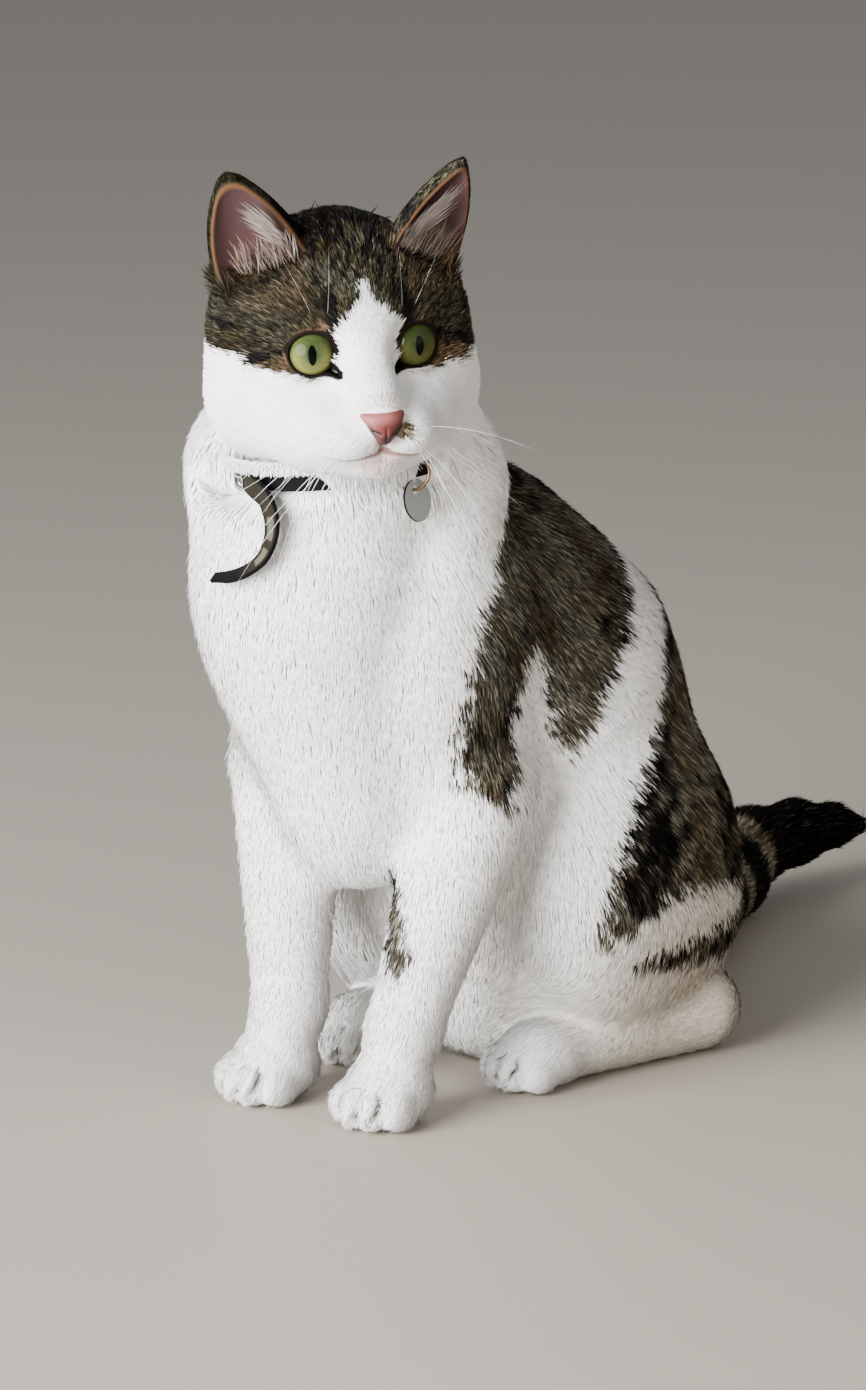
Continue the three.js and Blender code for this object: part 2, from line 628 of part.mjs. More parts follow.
// the same surface with its vertices pushed out by a clearance
function grown({ points, faces }, by) {
  const n = points.map(() => [0, 0, 0]);
  faces.forEach((f) => {
    const fn = faceNormal(...f.map((v) => points[v]));
    f.forEach((v) => { n[v] = add(n[v], fn); });
  });
  return { points: points.map((p, i) => add(p, unit(n[i]), by)), faces };
}
const floorUp = (shape) => shape.intersect(beyond([0, 0, 0], [0, 0, 1]));

// ---- looks ----
const looks = {
  whiteFur: { color: '#e9e4dc', roughness: 0.95, metalness: 0 },
  tabbyFur: { color: '#6f5c48', roughness: 0.95, metalness: 0 },
  darkFur: { color: '#3a322b', roughness: 0.95, metalness: 0 },
  earSkin: { color: '#b08a6e', roughness: 0.9, metalness: 0 },
  eyeBall: { color: '#a3a24c', roughness: 0.2, metalness: 0 },
  webbing: { color: '#2a2a2c', roughness: 0.85, metalness: 0 },
  strapFace: { color: '#5d5a48', roughness: 0.85, metalness: 0 },
  steel: { color: '#8d8f8c', roughness: 0.35, metalness: 1 },
  brass: { color: '#77603c', roughness: 0.35, metalness: 1 },
  disc: { color: '#c9cac8', roughness: 0.4, metalness: 1 },
};
const cat = new THREE.Group();
const headGroup = new THREE.Group();
headGroup.position.set(...headAt);
headGroup.rotation.set(0, rad(headTurn.roll), rad(headTurn.yaw), 'ZYX');
cat.add(headGroup);

function node(name, mesh, look, parent = cat) {
  const g = new THREE.BufferGeometry();
  g.setAttribute('position', new THREE.BufferAttribute(new Float32Array(mesh.points.flat()), 3));
  g.setIndex(mesh.faces.flat());
  g.computeVertexNormals();
  const m = new THREE.Mesh(g, new THREE.MeshStandardMaterial(looks[look]));
  m.name = name;
  parent.add(m);
  return m;
}

// ---- head, ears, eyes ----
const headPlaneAt = unit(headPlane.normal).map((v) => (v * headPlane.level) / size(headPlane.normal));
function headWithEars(q) {
  let d = trunkShape(fromHead(q));
  Object.values(ears).forEach((ear) => {
    const e = earShape(q, ear, ear.frame);
    d = carve(join(d, e.outer, earCup.rootSoft), e.cup, earCup.soft);
  });
  return d;
}
function earBase(ear, lift) {
  const at = add(ear.base, ear.frame.up, earRoot + lift);
  return { at: [at[0] * ear.side, at[1], at[2]], normal: [ear.frame.up[0] * ear.side, ear.frame.up[1], ear.frame.up[2]] };
}
// a block around one ear, standing on the ear's root plane
function earBlock(ear, lift) {
  const basis = new THREE.Matrix4().makeBasis(...[ear.frame.out, ear.frame.rear, ear.frame.up].map((v) => new THREE.Vector3(...v)));
  const block = new THREE.BoxGeometry(earRoom.wide, earRoom.deep, earRoom.high).translate(0, 0, earRoom.high / 2);
  block.applyMatrix4(basis);
  block.translate(...add(ear.base, ear.frame.up, earRoot + lift));
  if (ear.side < 0) block.scale(-1, 1, 1);
  return solid(shapeOf(block));
}
function headField(q) {
  let d = headWithEars(q);
  Object.values(ears).forEach((ear) => {
    const m = sub([q[0] * ear.side, q[1], q[2]], ear.base);
    if (Math.abs(dot(m, ear.frame.out)) < earRoom.wide / 2) d = Math.max(d, dot(m, ear.frame.up) - earRoot - earRoom.overlap);
  });
  return d;
}

const eyeBall = (r) => shapeOf(new THREE.SphereGeometry(r, eye.sides, eye.rings).rotateX(Math.PI / 2));
function nostrilShape(side) {
  const g = new THREE.SphereGeometry(1, 10, 8).scale(...nostril.size).rotateY(rad(nostril.tilt * side));
  return solid(shapeOf(g.translate(nostril.at[0] * side, nostril.at[1], nostril.at[2])));
}

const headMesh = sculpt(headField, ...headBox, cellOf.head, facesOf.head);
let headSolid = over(solid(headMesh), headPlaneAt, headPlane.normal);
Object.entries(ears).forEach(([name, ear]) => {
  headSolid = headSolid.subtract(earBlock(ear, -gap / 2));
  const lo = [-earRoom.reach, -earRoom.reach, earRoot - earRoom.under];
  const hi = [earRoom.reach, earRoom.reach, earRoom.top];
  const basis = new THREE.Matrix4().makeBasis(...[ear.frame.out, ear.frame.rear, ear.frame.up].map((v) => new THREE.Vector3(...v))).setPosition(...ear.base);
  const local = (l) => { const q = move(basis, l); return headWithEars([q[0] * ear.side, q[1], q[2]]); };
  const mesh = sculpt(local, lo, hi, cellOf.ear, facesOf.ear);
  mesh.points = mesh.points.map((l) => { const q = move(basis, l); return [q[0] * ear.side, q[1], q[2]]; });
  if (ear.side < 0) mesh.faces.forEach((f) => f.reverse());
  const root = earBase(ear, gap / 2);
  node(`ear_${name}`, meshOf(largest(solid(mesh).intersect(beyond(root.at, root.normal)))), 'earSkin', headGroup);
});
for (const side of [1, -1]) {
  const c = [eyeCentre[0] * side, eyeCentre[1], eyeCentre[2]];
  const socket = eyeBall(eye.radius + gap + 0.1);
  headSolid = headSolid.subtract(solid({ points: socket.points.map((p) => add(p, c)), faces: socket.faces }));
  headSolid = headSolid.subtract(nostrilShape(side));
  const ball = node(side > 0 ? 'eye_left' : 'eye_right', eyeBall(eye.radius), 'eyeBall', headGroup);
  ball.position.set(...c);
}
node('head', meshOf(largest(headSolid)), 'whiteFur', headGroup);

// ---- collar set ----
cat.add(collarGroup);
const onCollar = (bearing, far, up = 0) => [Math.cos(rad(bearing)) * far, Math.sin(rad(bearing)) * far, up];

function band(spare) {
  const ri = collar.radius - collar.thick - spare;
  const ro = collar.radius + spare;
  const h = collar.high / 2 + spare;
  const c = collar.edge;
  const outline = [[ri, -h], [ro - c, -h], [ro, c - h], [ro, h - c], [ro - c, h], [ri, h], [ri, -h]];
  const lathe = new THREE.LatheGeometry(outline.map(([x, y]) => new THREE.Vector2(x, y)), collar.sides);
  return solid(shapeOf(lathe.rotateX(Math.PI / 2)));
}
function linkRing(spare) {
  const torus = new THREE.TorusGeometry(link.ring, link.wire + spare, 8, 20);
  return solid(shapeOf(torus.translate(...onCollar(link.bearing, link.radius))));
}
node('collar', meshOf(band(0).add(linkRing(0))), 'webbing', collarGroup);

function roundedFrame(w, h, r) {
  const s = new THREE.Path();
  s.moveTo(-w / 2 + r, -h / 2).lineTo(w / 2 - r, -h / 2).absarc(w / 2 - r, -h / 2 + r, r, -Math.PI / 2, 0)
    .lineTo(w / 2, h / 2 - r).absarc(w / 2 - r, h / 2 - r, r, 0, Math.PI / 2)
    .lineTo(-w / 2 + r, h / 2).absarc(-w / 2 + r, h / 2 - r, r, Math.PI / 2, Math.PI)
    .lineTo(-w / 2, -h / 2 + r).absarc(-w / 2 + r, -h / 2 + r, r, Math.PI, Math.PI * 1.5);
  return s.getPoints(3);
}
const buckleOutline = new THREE.Shape(roundedFrame(buckle.wide, buckle.high, 2));
buckleOutline.holes.push(new THREE.Path(roundedFrame(buckle.wide - 2 * buckle.bar, buckle.high - 2 * buckle.bar, 0.8)));
const buckleFrame = new THREE.ExtrudeGeometry(buckleOutline, { depth: buckle.thick, bevelEnabled: false });
const buckleGroup = new THREE.Group();
const outward = onCollar(buckle.bearing, 1);
buckleGroup.position.set(...onCollar(buckle.bearing, buckle.stand));
buckleGroup.quaternion.setFromRotationMatrix(new THREE.Matrix4().makeBasis(
  new THREE.Vector3(-outward[1], outward[0], 0), new THREE.Vector3(0, 0, 1), new THREE.Vector3(...outward)));
collarGroup.add(buckleGroup);
const pin = new THREE.CylinderGeometry(buckle.pin, buckle.pin, buckle.wide - buckle.bar, 10).rotateZ(Math.PI / 2);
const buckleSolid = solid(shapeOf(buckleFrame)).add(solid(shapeOf(pin.translate(0, 0, buckle.thick - buckle.pin))));
node('buckle', meshOf(buckleSolid), 'steel', buckleGroup);

// loose strap end: flat on the band where it leaves the buckle, then edge on
const along = [Math.cos(rad(facing)), Math.sin(rad(facing)), 0];
const level = [Math.sin(rad(facing)), -Math.cos(rad(facing)), 0];
const outFacing = add(level.map((v) => v * Math.cos(rad(rise))), [0, 0, 1], Math.sin(rad(rise)));
const strapCurve = new THREE.CatmullRomCurve3(strap.line.map((p) => new THREE.Vector3(...p)));
function ribbon() {
  const points = [];
  const faces = [];
  for (let i = 0; i <= strap.steps; i += 1) {
    const t = i / strap.steps;
    const c = strapCurve.getPointAt(t).toArray();
    const run = strapCurve.getTangentAt(t).toArray();
    const side = unit(cross(run, outFacing));
    const open = add(outFacing.map((v) => v * Math.cos(rad(strap.lean))), side, -Math.sin(rad(strap.lean)));
    const mix = Math.min(1, t / strap.turned);
    const raw = add(collarAxis.map((v) => v * (1 - mix)), open, mix);
    const wide = unit(add(raw, run, -dot(raw, run)));
    const flat = cross(run, wide);
    for (const [a, b] of [[-1, -1], [1, -1], [1, 1], [-1, 1]]) {
      points.push(add(add(c, wide, (a * strap.wide) / 2), flat, (b * strap.thick) / 2));
    }
    if (i > 0) {
      const k = 4 * i;
      for (let e = 0; e < 4; e += 1) {
        const f = (e + 1) % 4;
        faces.push([k - 4 + e, k - 4 + f, k + f], [k - 4 + e, k + f, k + e]);
      }
    }
  }
  const z = 4 * strap.steps;
  faces.push([0, 2, 1], [0, 3, 2], [z, z + 1, z + 2], [z, z + 2, z + 3]);
  return { points, faces };
}
node('strap_end', ribbon(), 'strapFace');

// tag ring hanging in the link, then the disc hanging on the ring
const ringOut = unit(add(along.map((v) => v * Math.sqrt(1 - tagRing.lean ** 2)), level, -tagRing.lean));
const ringHeld = move(collarFrame, onCollar(link.bearing, tagRing.held));
const ringCentre = add(ringHeld, ringOut, tagRing.ring);
const ringMesh = node('tag_ring', shapeOf(new THREE.TorusGeometry(tagRing.ring, tagRing.wire, 8, 24)), 'brass');
ringMesh.position.set(...ringCentre);
ringMesh.quaternion.setFromRotationMatrix(new THREE.Matrix4().makeBasis(
  new THREE.Vector3(...ringOut), new THREE.Vector3(0, 0, 1), new THREE.Vector3(...cross(ringOut, [0, 0, 1]))));

const holeAt = add(add(ringCentre, ringOut, tagRing.ring * Math.cos(rad(tagDisc.hangsAt))), [0, 0, 1], tagRing.ring * Math.sin(rad(tagDisc.hangsAt)));
const hang = add(along.map((v) => v * Math.sin(rad(tagDisc.swing))), [0, 0, 1], -Math.cos(rad(tagDisc.swing)));
const sideways = add(along.map((v) => v * Math.cos(rad(tagDisc.swing))), [0, 0, 1], Math.sin(rad(tagDisc.swing)));
const discFace = add(level.map((v) => v * Math.cos(rad(tagDisc.turn))), sideways, Math.sin(rad(tagDisc.turn)));
const round = (r, n) => [...Array(n).keys()].map((i) => new THREE.Vector2(r * Math.cos((2 * Math.PI * i) / n), r * Math.sin((2 * Math.PI * i) / n)));
const discOutline = new THREE.Shape(round(tagDisc.radius, 36));
discOutline.holes.push(new THREE.Path(round(tagDisc.hole, 14).map((v) => v.setX(v.x + tagDisc.offset))));
const discPlate = new THREE.ExtrudeGeometry(discOutline, { depth: tagDisc.thick, bevelEnabled: false }).translate(0, 0, -tagDisc.thick / 2);
const discMesh = node('tag_disc', shapeOf(discPlate), 'disc');
discMesh.position.set(...add(holeAt, hang, tagDisc.offset));
discMesh.quaternion.setFromRotationMatrix(new THREE.Matrix4().makeBasis(
  new THREE.Vector3(...hang.map((v) => -v)), new THREE.Vector3(...cross(discFace, hang.map((v) => -v))), new THREE.Vector3(...discFace)));

// ---- trunk: one surface, parted by planes ----
const headNormal = unit(headPlane.normal);
const trunkField = (p) => Math.max(trunkShape(p), dot(toHead(p), headNormal) - headPlane.level / size(headPlane.normal) - headPlane.spare);
const trunk = floorUp(solid(sculpt(trunkField, ...trunkBox, cellOf.trunk, facesOf.trunk)));

const neckAt = add(collar.at, collarAxis, neckCut);
const collarRoom = band(gap + 0.05).add(linkRing(gap + 0.05)).transform(collarFrame.elements);
const neck = over(under(trunk, fromHead(headPlaneAt), turnFromHead(headPlane.normal)), neckAt, collarAxis);
node('neck', meshOf(largest(neck.subtract(collarRoom))), 'tabbyFur');

const trunkBelow = under(trunk, neckAt, collarAxis);
const legRoom = (spare) => below([0, 0, legTop + spare], [0, 0, 1]).intersect(below([0, legBack + spare, 0], [0, 1, 0]));
const lowerLegs = over(trunkBelow.intersect(legRoom(-gap / 2)), [0, 0, pawTop], [0, 0, 1]);
const barrel = trunkBelow.subtract(legRoom(gap / 2));

for (const [name, leg] of Object.entries(foreLegs)) {
  const sideOf = name === 'left' ? [-1, 0, 0] : [1, 0, 0];
  node(`foreleg_${name}`, meshOf(largest(under(lowerLegs, [0, 0, 0], sideOf))), 'whiteFur');
  const field = (p) => join(foreLegShape(p, leg), pawShape(p, leg.paw, leg.turn), limbSoft.paw);
  const mesh = sculpt(field, ...pawBox.map((corner) => add(leg.paw, corner)), cellOf.paw, facesOf.forepaw);
  node(`forepaw_${name}`, meshOf(largest(under(floorUp(solid(mesh)), [0, 0, pawTop], [0, 0, 1])), true), 'whiteFur');
}

const tailMesh = sculpt(tailShape, ...tailBox, cellOf.tail, facesOf.tail);
const tailSolid = floorUp(solid(tailMesh));
const across = [0, 1, 0];
const tailBase = under(over(tailSolid, [0, tailRoot - gap / 2, 0], across), [0, tailCuts[0], 0], across);
const tailRoom = solid(grown(tailMesh, tailSpare)).intersect(beyond([0, tailRoot - gap, 0], across));
node('tail_base', meshOf(largest(tailBase), true), 'darkFur');
node('tail_middle', meshOf(largest(under(over(tailSolid, [0, tailCuts[0], 0], across), [0, tailCuts[1], 0], across)), true), 'darkFur');
node('tail_tip', meshOf(largest(over(tailSolid, [0, tailCuts[1], 0], across)), true), 'darkFur');

let rear = over(barrel, waist.at, waist.normal).subtract(tailRoom);
for (const [name, leg] of Object.entries(hindLegs)) {
  const lo = [0, 1].map((k) => Math.min(leg.toes[k], leg.heel[k]) - footBox.around);
  const hi = [0, 1].map((k) => Math.max(leg.toes[k], leg.heel[k]) + footBox.around);
  const mesh = sculpt((p) => hindFootShape(p, leg), [...lo, footBox.low], [...hi, footBox.high], cellOf.foot, facesOf.hindFoot);
  const foot = floorUp(solid(mesh));
  rear = rear.subtract(solid(grown(mesh, gap + 0.05)));
  const toBack = unit(sub(leg.heel, leg.toes));
  const splitAt = add(leg.toes, toBack, hock.split);
  node(`hindpaw_${name}`, meshOf(largest(under(foot, splitAt, toBack)), true), 'whiteFur');
  node(`hindfoot_${name}`, meshOf(largest(over(foot, splitAt, toBack)), true), 'whiteFur');
}
for (const [name, side] of [['left', 1], ['right', -1]]) {
  const at = [thighCut.middle + thighCut.out * side, 0, thighCut.height];
  const normal = [thighCut.normal[0] * side, 0, thighCut.normal[2]];
  node(`thigh_${name}`, meshOf(largest(over(rear, at, normal)), true), 'whiteFur');
  rear = under(rear, at, normal);
}
node('belly', meshOf(largest(under(rear, [0, bellyBack, 0], across)), true), 'whiteFur');
node('rump', meshOf(largest(over(rear, [0, bellyBack, 0], across)), true), 'tabbyFur');
node('torso', meshOf(largest(under(barrel, waist.at, waist.normal))), 'tabbyFur');

// ---- origin: middle of the box, on the floor ----
const object = new THREE.Group();
object.name = 'cat';
object.add(cat);
object.updateMatrixWorld(true);
const box = new THREE.Box3().setFromObject(object, true);
cat.position.set(-(box.min.x + box.max.x) / 2, -(box.min.y + box.max.y) / 2, -box.min.z);
object.updateMatrixWorld(true);

export default object;
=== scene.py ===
import math
import time

import bpy
import numpy as np
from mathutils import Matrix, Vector


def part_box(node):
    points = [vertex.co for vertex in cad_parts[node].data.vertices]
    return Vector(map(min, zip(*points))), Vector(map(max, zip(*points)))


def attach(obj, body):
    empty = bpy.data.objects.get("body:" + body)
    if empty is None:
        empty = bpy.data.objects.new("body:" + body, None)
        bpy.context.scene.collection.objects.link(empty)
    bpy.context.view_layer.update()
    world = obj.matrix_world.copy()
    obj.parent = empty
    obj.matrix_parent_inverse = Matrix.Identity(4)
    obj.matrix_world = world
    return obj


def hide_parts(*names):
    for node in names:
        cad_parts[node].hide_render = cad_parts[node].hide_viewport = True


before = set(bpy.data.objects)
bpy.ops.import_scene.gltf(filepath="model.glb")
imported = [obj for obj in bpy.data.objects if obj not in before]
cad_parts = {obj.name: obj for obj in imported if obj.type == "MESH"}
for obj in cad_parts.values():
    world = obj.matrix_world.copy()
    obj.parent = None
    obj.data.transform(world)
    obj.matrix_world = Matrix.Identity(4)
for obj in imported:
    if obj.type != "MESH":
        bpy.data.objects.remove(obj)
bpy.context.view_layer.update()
started = time.time()
rng = np.random.default_rng(11)
bothSides = ((1, "left"), (-1, "right"))


def report(words):
    print(f"{time.time() - started:6.1f}s {words}")


# small helpers for arrays of points in millimetres, about the point midway between the forepaws
def vec(*a):
    return np.array(a, float)


def size(v):
    return np.linalg.norm(v, axis=-1)


def unit(v):
    return v / np.maximum(np.linalg.norm(v, axis=-1, keepdims=True), 1e-12)


def ramp(x, a, b):
    t = np.clip((x - a) / (b - a), 0, 1)
    return t * t * (3 - 2 * t)


def mix(a, b, t):
    return a + (b - a) * t


def blend(colour, other, share):
    return mix(colour, other, share[:, None])


# distances to forms, below zero inside, and soft ways to put them together
def join(a, b, k):
    h = np.maximum(k - np.abs(a - b), 0) / k
    return np.minimum(a, b) - h * h * k * 0.25


def carve(a, b, k):
    return -join(-a, b, k)


def both(a, b, k):
    return -join(-a, -b, k)


def blob(p, centre, radii):
    q = p - np.asarray(centre, float)
    r = np.asarray(radii, float)
    k0 = np.sqrt(((q / r) ** 2).sum(-1))
    k1 = np.sqrt(((q / (r * r)) ** 2).sum(-1))
    return k0 * (k0 - 1) / np.maximum(k1, 1e-9)


def limb(p, a, b, ra, rb):
    a = np.asarray(a, float)
    ba = np.asarray(b, float) - a
    pa = p - a
    h = np.clip((pa @ ba) / (ba @ ba), 0, 1)
    return np.sqrt(((pa - h[..., None] * ba) ** 2).sum(-1)) - (ra + (rb - ra) * h)


def nearby(p, centre, reach, shape, far=400.0):
    d = np.full(len(p), far)
    m = ((p - np.asarray(centre, float)) ** 2).sum(-1) < reach * reach
    if m.any():
        d[m] = shape(p[m])
    return d


def turnZ(deg):
    c = math.cos(math.radians(deg))
    s = math.sin(math.radians(deg))
    return np.array([[c, -s, 0], [s, c, 0], [0, 0, 1]])


# smooth noise: a few waves in fixed random directions
waveSets = {}
fullTurn = 6.28


def waves(p, long, seed=0, count=7):
    if (seed, count) not in waveSets:
        r = np.random.default_rng(100 + seed)
        ways = unit(r.normal(size=(count, 3))) * r.uniform(0.6, 1.5, (count, 1))
        waveSets[(seed, count)] = (ways, r.uniform(0, fullTurn, count))
    ways, phase = waveSets[(seed, count)]
    return np.sin(p @ (ways.T * (fullTurn / long)) + phase).sum(-1) / math.sqrt(count / 2)


# the head, in its own directions: x to its left, y to the back, z up
head = {
    "at": vec(17.4, -14, 320.3), "yaw": 50, "roll": -3,
    "cranium": ((0, 8, 6), (46, 44, 44.5)), "cheek": ((27, 4, -20), (28, 32, 28)),
    "brow": ((0, -22, 12), (32, 19, 17)), "temple": ((32, 6, 8), (18, 28, 24)),
    "bridge": ((0, -31, 4), (0, -52.5, -20.5), 12.5, 9), "pad": ((9.5, -47, -31), (13.5, 14.5, 11)),
    "noseTip": ((0, -58.2, -26), (8, 5.6, 6.2)), "chin": ((0, -40, -41.5), (14, 15, 8)),
    "jaw": ((17, -24, -31), (20, 22, 18)), "hollow": ((25, -45, -1), (13, 11, 11)),
    "planeNormal": unit(vec(0, -0.35, 0.94)), "planeLevel": -36 / math.hypot(0.35, 0.94),
}
cr = math.cos(math.radians(head["roll"]))
sr = math.sin(math.radians(head["roll"]))
head["turn"] = turnZ(head["yaw"]) @ np.array([[cr, 0, sr], [0, 1, 0], [-sr, 0, cr]])
eye = {"opening": vec(21.6, -38.3, 0), "gaze": unit(vec(0.17, -0.985, 0)), "radius": 10.8, "lid": 1.8}
eye["centre"] = eye["opening"] - eye["radius"] * eye["gaze"]
eye["side"] = unit(np.cross(eye["gaze"], vec(0, 0, 1)))
mouth = (  # runs of the lips' line with its half widths
    ((0, -61.0, -31.2), (0, -55.2, -36.5), 0.7, 0.9), ((0, -55.2, -36.5), (5.2, -56.6, -38.2), 1.0, 1.0),
    ((5.2, -56.6, -38.2), (10.4, -55.6, -39.4), 1.0, 1.0),
    ((10.4, -55.6, -39.4), (14.6, -52.6, -40.2), 1.0, 0.9),
    ((14.6, -52.6, -40.2), (20, -49.2, -38.6), 0.9, 0.5),
)
ears = {
    1: {"base": (31.4, -7, 33), "tip": (46.8, -19, 67), "across": (35, 17, -13), "half": 17.8, "round": 4},
    -1: {"base": (32, -6, 33), "tip": (46.5, -19, 68), "across": (35, 14, -12), "half": 19.8, "round": 9},
}
for ear in ears.values():
    for key in ("base", "tip", "across"):
        ear[key] = vec(*ear[key])
    ear["high"] = np.linalg.norm(ear["tip"] - ear["base"])
    ear["up"] = unit(ear["tip"] - ear["base"])
    ear["out"] = unit(ear["across"] - (ear["across"] @ ear["up"]) * ear["up"])
    ear["rear"] = np.cross(ear["up"], ear["out"])
    ear["axes"] = np.stack([ear["out"], ear["rear"], ear["up"]], 1)
earWall = 1.7
earDepth = 17


def toHead(p):
    return (p - head["at"]) @ head["turn"]


def fromHead(q):
    return q @ head["turn"].T + head["at"]


def folded(q):
    return np.concatenate([np.abs(q[..., :1]), q[..., 1:]], -1)


def headLevel(p):
    return toHead(p) @ head["planeNormal"] - head["planeLevel"]


def headMass(p):
    q = toHead(p)
    a = folded(q)
    d = blob(q, *head["cranium"])
    d = join(d, blob(a, *head["cheek"]), 18)
    d = join(d, blob(q, *head["brow"]), 12)
    d = join(d, blob(a, *head["temple"]), 12)
    d = join(d, limb(q, *head["bridge"]), 14)
    d = join(d, blob(a, *head["pad"]), 7)
    d = join(d, blob(q, *head["noseTip"]), 4)
    d = join(d, blob(q, *head["chin"]), 6)
    d = join(d, blob(a, *head["jaw"]), 12)
    d = carve(d, blob(a, *head["hollow"]), 10)
    return join(d, size(a - eye["centre"]) - eye["radius"] - eye["lid"], 6)


def lidOpening(q):
    w = folded(q) - eye["centre"]
    u = w @ eye["side"]
    v = w[..., 2]
    almond = np.sqrt((u / 8.8) ** 2 + (v / 8.1) ** 2) * 8.4 - 8.4
    canthus = limb(np.stack([u, v, 0 * u], -1), (5, -5, 0), (10.5, -9, 0), 1.5, 0.3)
    return np.maximum(join(almond, canthus, 2), -(w @ eye["gaze"]))


def lipGroove(q):
    a = folded(q)
    return np.min([limb(a, *m) for m in mouth], axis=0)


def inEar(q, side):
    ear = ears[side]
    return (q * vec(side, 1, 1) - ear["base"]) @ ear["axes"]


# an ear's leaf and the hollow in it, each where two balls overlap
def earForms(q, side):
    ear = ears[side]
    l = inEar(q, side) + vec(0, 0, 4)
    high = ear["high"] + 5 + ear["round"] * 0.6
    big = (ear["half"] + high * high / ear["half"]) / 2
    c = big - ear["half"]
    outer = (big, earDepth, big)
    inner = (big - earWall, earDepth + 2, big - earWall)
    leaf = both(blob(l, (c, 0, 0), outer), blob(l, (-c, 0, 0), outer), ear["round"])
    cup = both(blob(l, (c, -7, 1), inner), blob(l, (-c, -7, 1), inner), ear["round"])
    return both(leaf, -(l[..., 2] + 12), 4), both(cup, -6 - l[..., 2], 4)


# the nose leather, a blunt wedge
def noseForm(q):
    x, z = np.abs(q[:, 0]), q[:, 2]
    front = blob(q, (0, -55.3, -26.5), (11.5, 9.3, 11))
    flank = (x - 9.3 - 0.70 * (z + 22.5)) * 0.82
    return both(both(front, flank, 3), both(z + 20.6, -34.0 - z, 1), 2.2)


collar = {"at": vec(4, 8, 266.8), "radius": 44.5, "thick": 2, "high": 8, "tilt": 6, "tiltAlong": 35}
ct = math.radians(collar["tilt"])
ca = math.radians(collar["tiltAlong"])
collar["axis"] = vec(-math.sin(ct) * math.cos(ca), -math.sin(ct) * math.sin(ca), math.cos(ct))
collar["turn"] = np.array(Vector((0, 0, 1)).rotation_difference(Vector(collar["axis"])).to_matrix())
throat = {  # the groove that the collar lies in, between two bearings
    "first": -150, "last": -8, "bared": -34, "fade": 6, "ring": 50.4, "covered": 54, "radius": 8.4,
    "blend": 4, "roomAt": vec(48, -10.6, 268.6), "roomRadius": 9.4, "roomFrom": 45.6,
}


def toCollar(p):
    return (p - collar["at"]) @ collar["turn"]


def throatGroove(p):
    w = toCollar(p)
    far = np.hypot(w[:, 0], w[:, 1])
    bearing = np.degrees(np.arctan2(w[:, 1], w[:, 0]))
    cover = np.clip((bearing - throat["bared"]) / throat["fade"], 0, 1)
    tube = np.hypot(far - mix(throat["ring"], throat["covered"], cover), w[:, 2]) - throat["radius"]
    ends = np.maximum(throat["first"] - bearing, bearing - throat["last"]) * throat["ring"] * math.pi / 180
    room = np.maximum(size(p - throat["roomAt"]) - throat["roomRadius"], throat["roomFrom"] - far)
    return np.minimum(np.maximum(tube, ends), room)


trunk = {  # each mass: how softly it joins those before it, its kind and its shape
    "withers": (1, limb, (-4, 50, 222), (1, 82, 200), 46, 53),
    "back": (30, limb, (1, 82, 200), (8, 118, 160), 53, 63),
    "loin": (30, limb, (8, 118, 160), (15, 144, 92), 63, 71),
    "rump": (16, blob, (16, 148, 60.6), (74, 70, 62)),
    "breast": (22, blob, (-14, 12, 218), (54, 52, 80)),
    "keel": (24, blob, (-4, 30, 152), (42, 46, 67)),
    "neck": (14, blob, (2, 15, 272), (54, 49, 42)),
    "belly": (24, blob, (8, 100, 81), (52, 46, 76)),
    "ruffRight": (14, blob, (-38, 16, 260), (36, 40, 36)),
    "ruffLeft": (10, blob, (36, 33, 256), (23.5, 26, 34)),
    "fluff": (18, blob, (14, 104, 36), (36, 36, 34)),
}
foreLegs = (
    {"shoulder": ((36, 42, 186), (27, 40, 60)), "elbow": (43, 42, 128), "foot": (33.5, -8.5, 0), "turn": 2},
    {"shoulder": ((-42, 38, 186), (27, 40, 60)), "elbow": (-47, 36, 130), "foot": (-27, -5, 0), "turn": -4},
)
hindLegs = (
    {"thigh": ((62, 128, 78), (33, 60, 66)), "heel": (75, 161, 0), "foot": (52, 73, 0), "turn": -15},
    {"thigh": ((-44, 121, 76), (35, 62, 66)), "heel": (-56, 158, 0), "foot": (-34, 66, 0), "turn": 14},
)
legs = foreLegs + hindLegs
for leg in legs:
    for key in {"elbow", "heel", "foot"} & set(leg):
        leg[key] = vec(*leg[key])
tail = (
    ((12, 196, 34), 24), ((6, 240, 22), 20), ((-14, 300, 18), 18.7), ((-36, 360, 18), 18.4),
    ((-46, 397, 24.5), 17.3), ((-39, 424, 27), 14.4), ((-29.5, 441, 28.2), 9.8), ((-22.5, 450, 27.8), 6.2),
)
tailLine = vec(*[c for c, r in tail])
creases = (-8.4, 0, 8.4)  # between the toes


def pawForm(p, leg, scale):
    q = (p - leg["foot"]) @ turnZ(leg["turn"])
    d = blob(q, (0, 3, 13), vec(18, 20, 14.5) * scale)
    for x, y in ((-12.4, -8), (-4.4, -13.2), (4.4, -13.2), (12.4, -8)):
        d = join(d, blob(q, (x * scale, y, 9.2), (6.8, 9.6, 9.6)), 3.6)
    return d


def shank(p, leg):
    return limb(p, leg["heel"] + vec(0, 0, 18), leg["foot"] + vec(0, 0, 13.4), 19, 13.5)


def shanksNear(p, leg, reach):
    return nearby(p, (leg["heel"] + leg["foot"]) / 2, reach, lambda s: shank(s, leg))


def foreLegForm(p, leg):
    wrist = leg["foot"] + vec(1.5, 12, 38)
    d = blob(p, *leg["shoulder"])
    d = join(d, limb(p, leg["elbow"], wrist, 25, 15.2), 22)
    return join(d, limb(p, wrist, leg["foot"] + vec(0, 4, 16), 15.2, 15), 6)


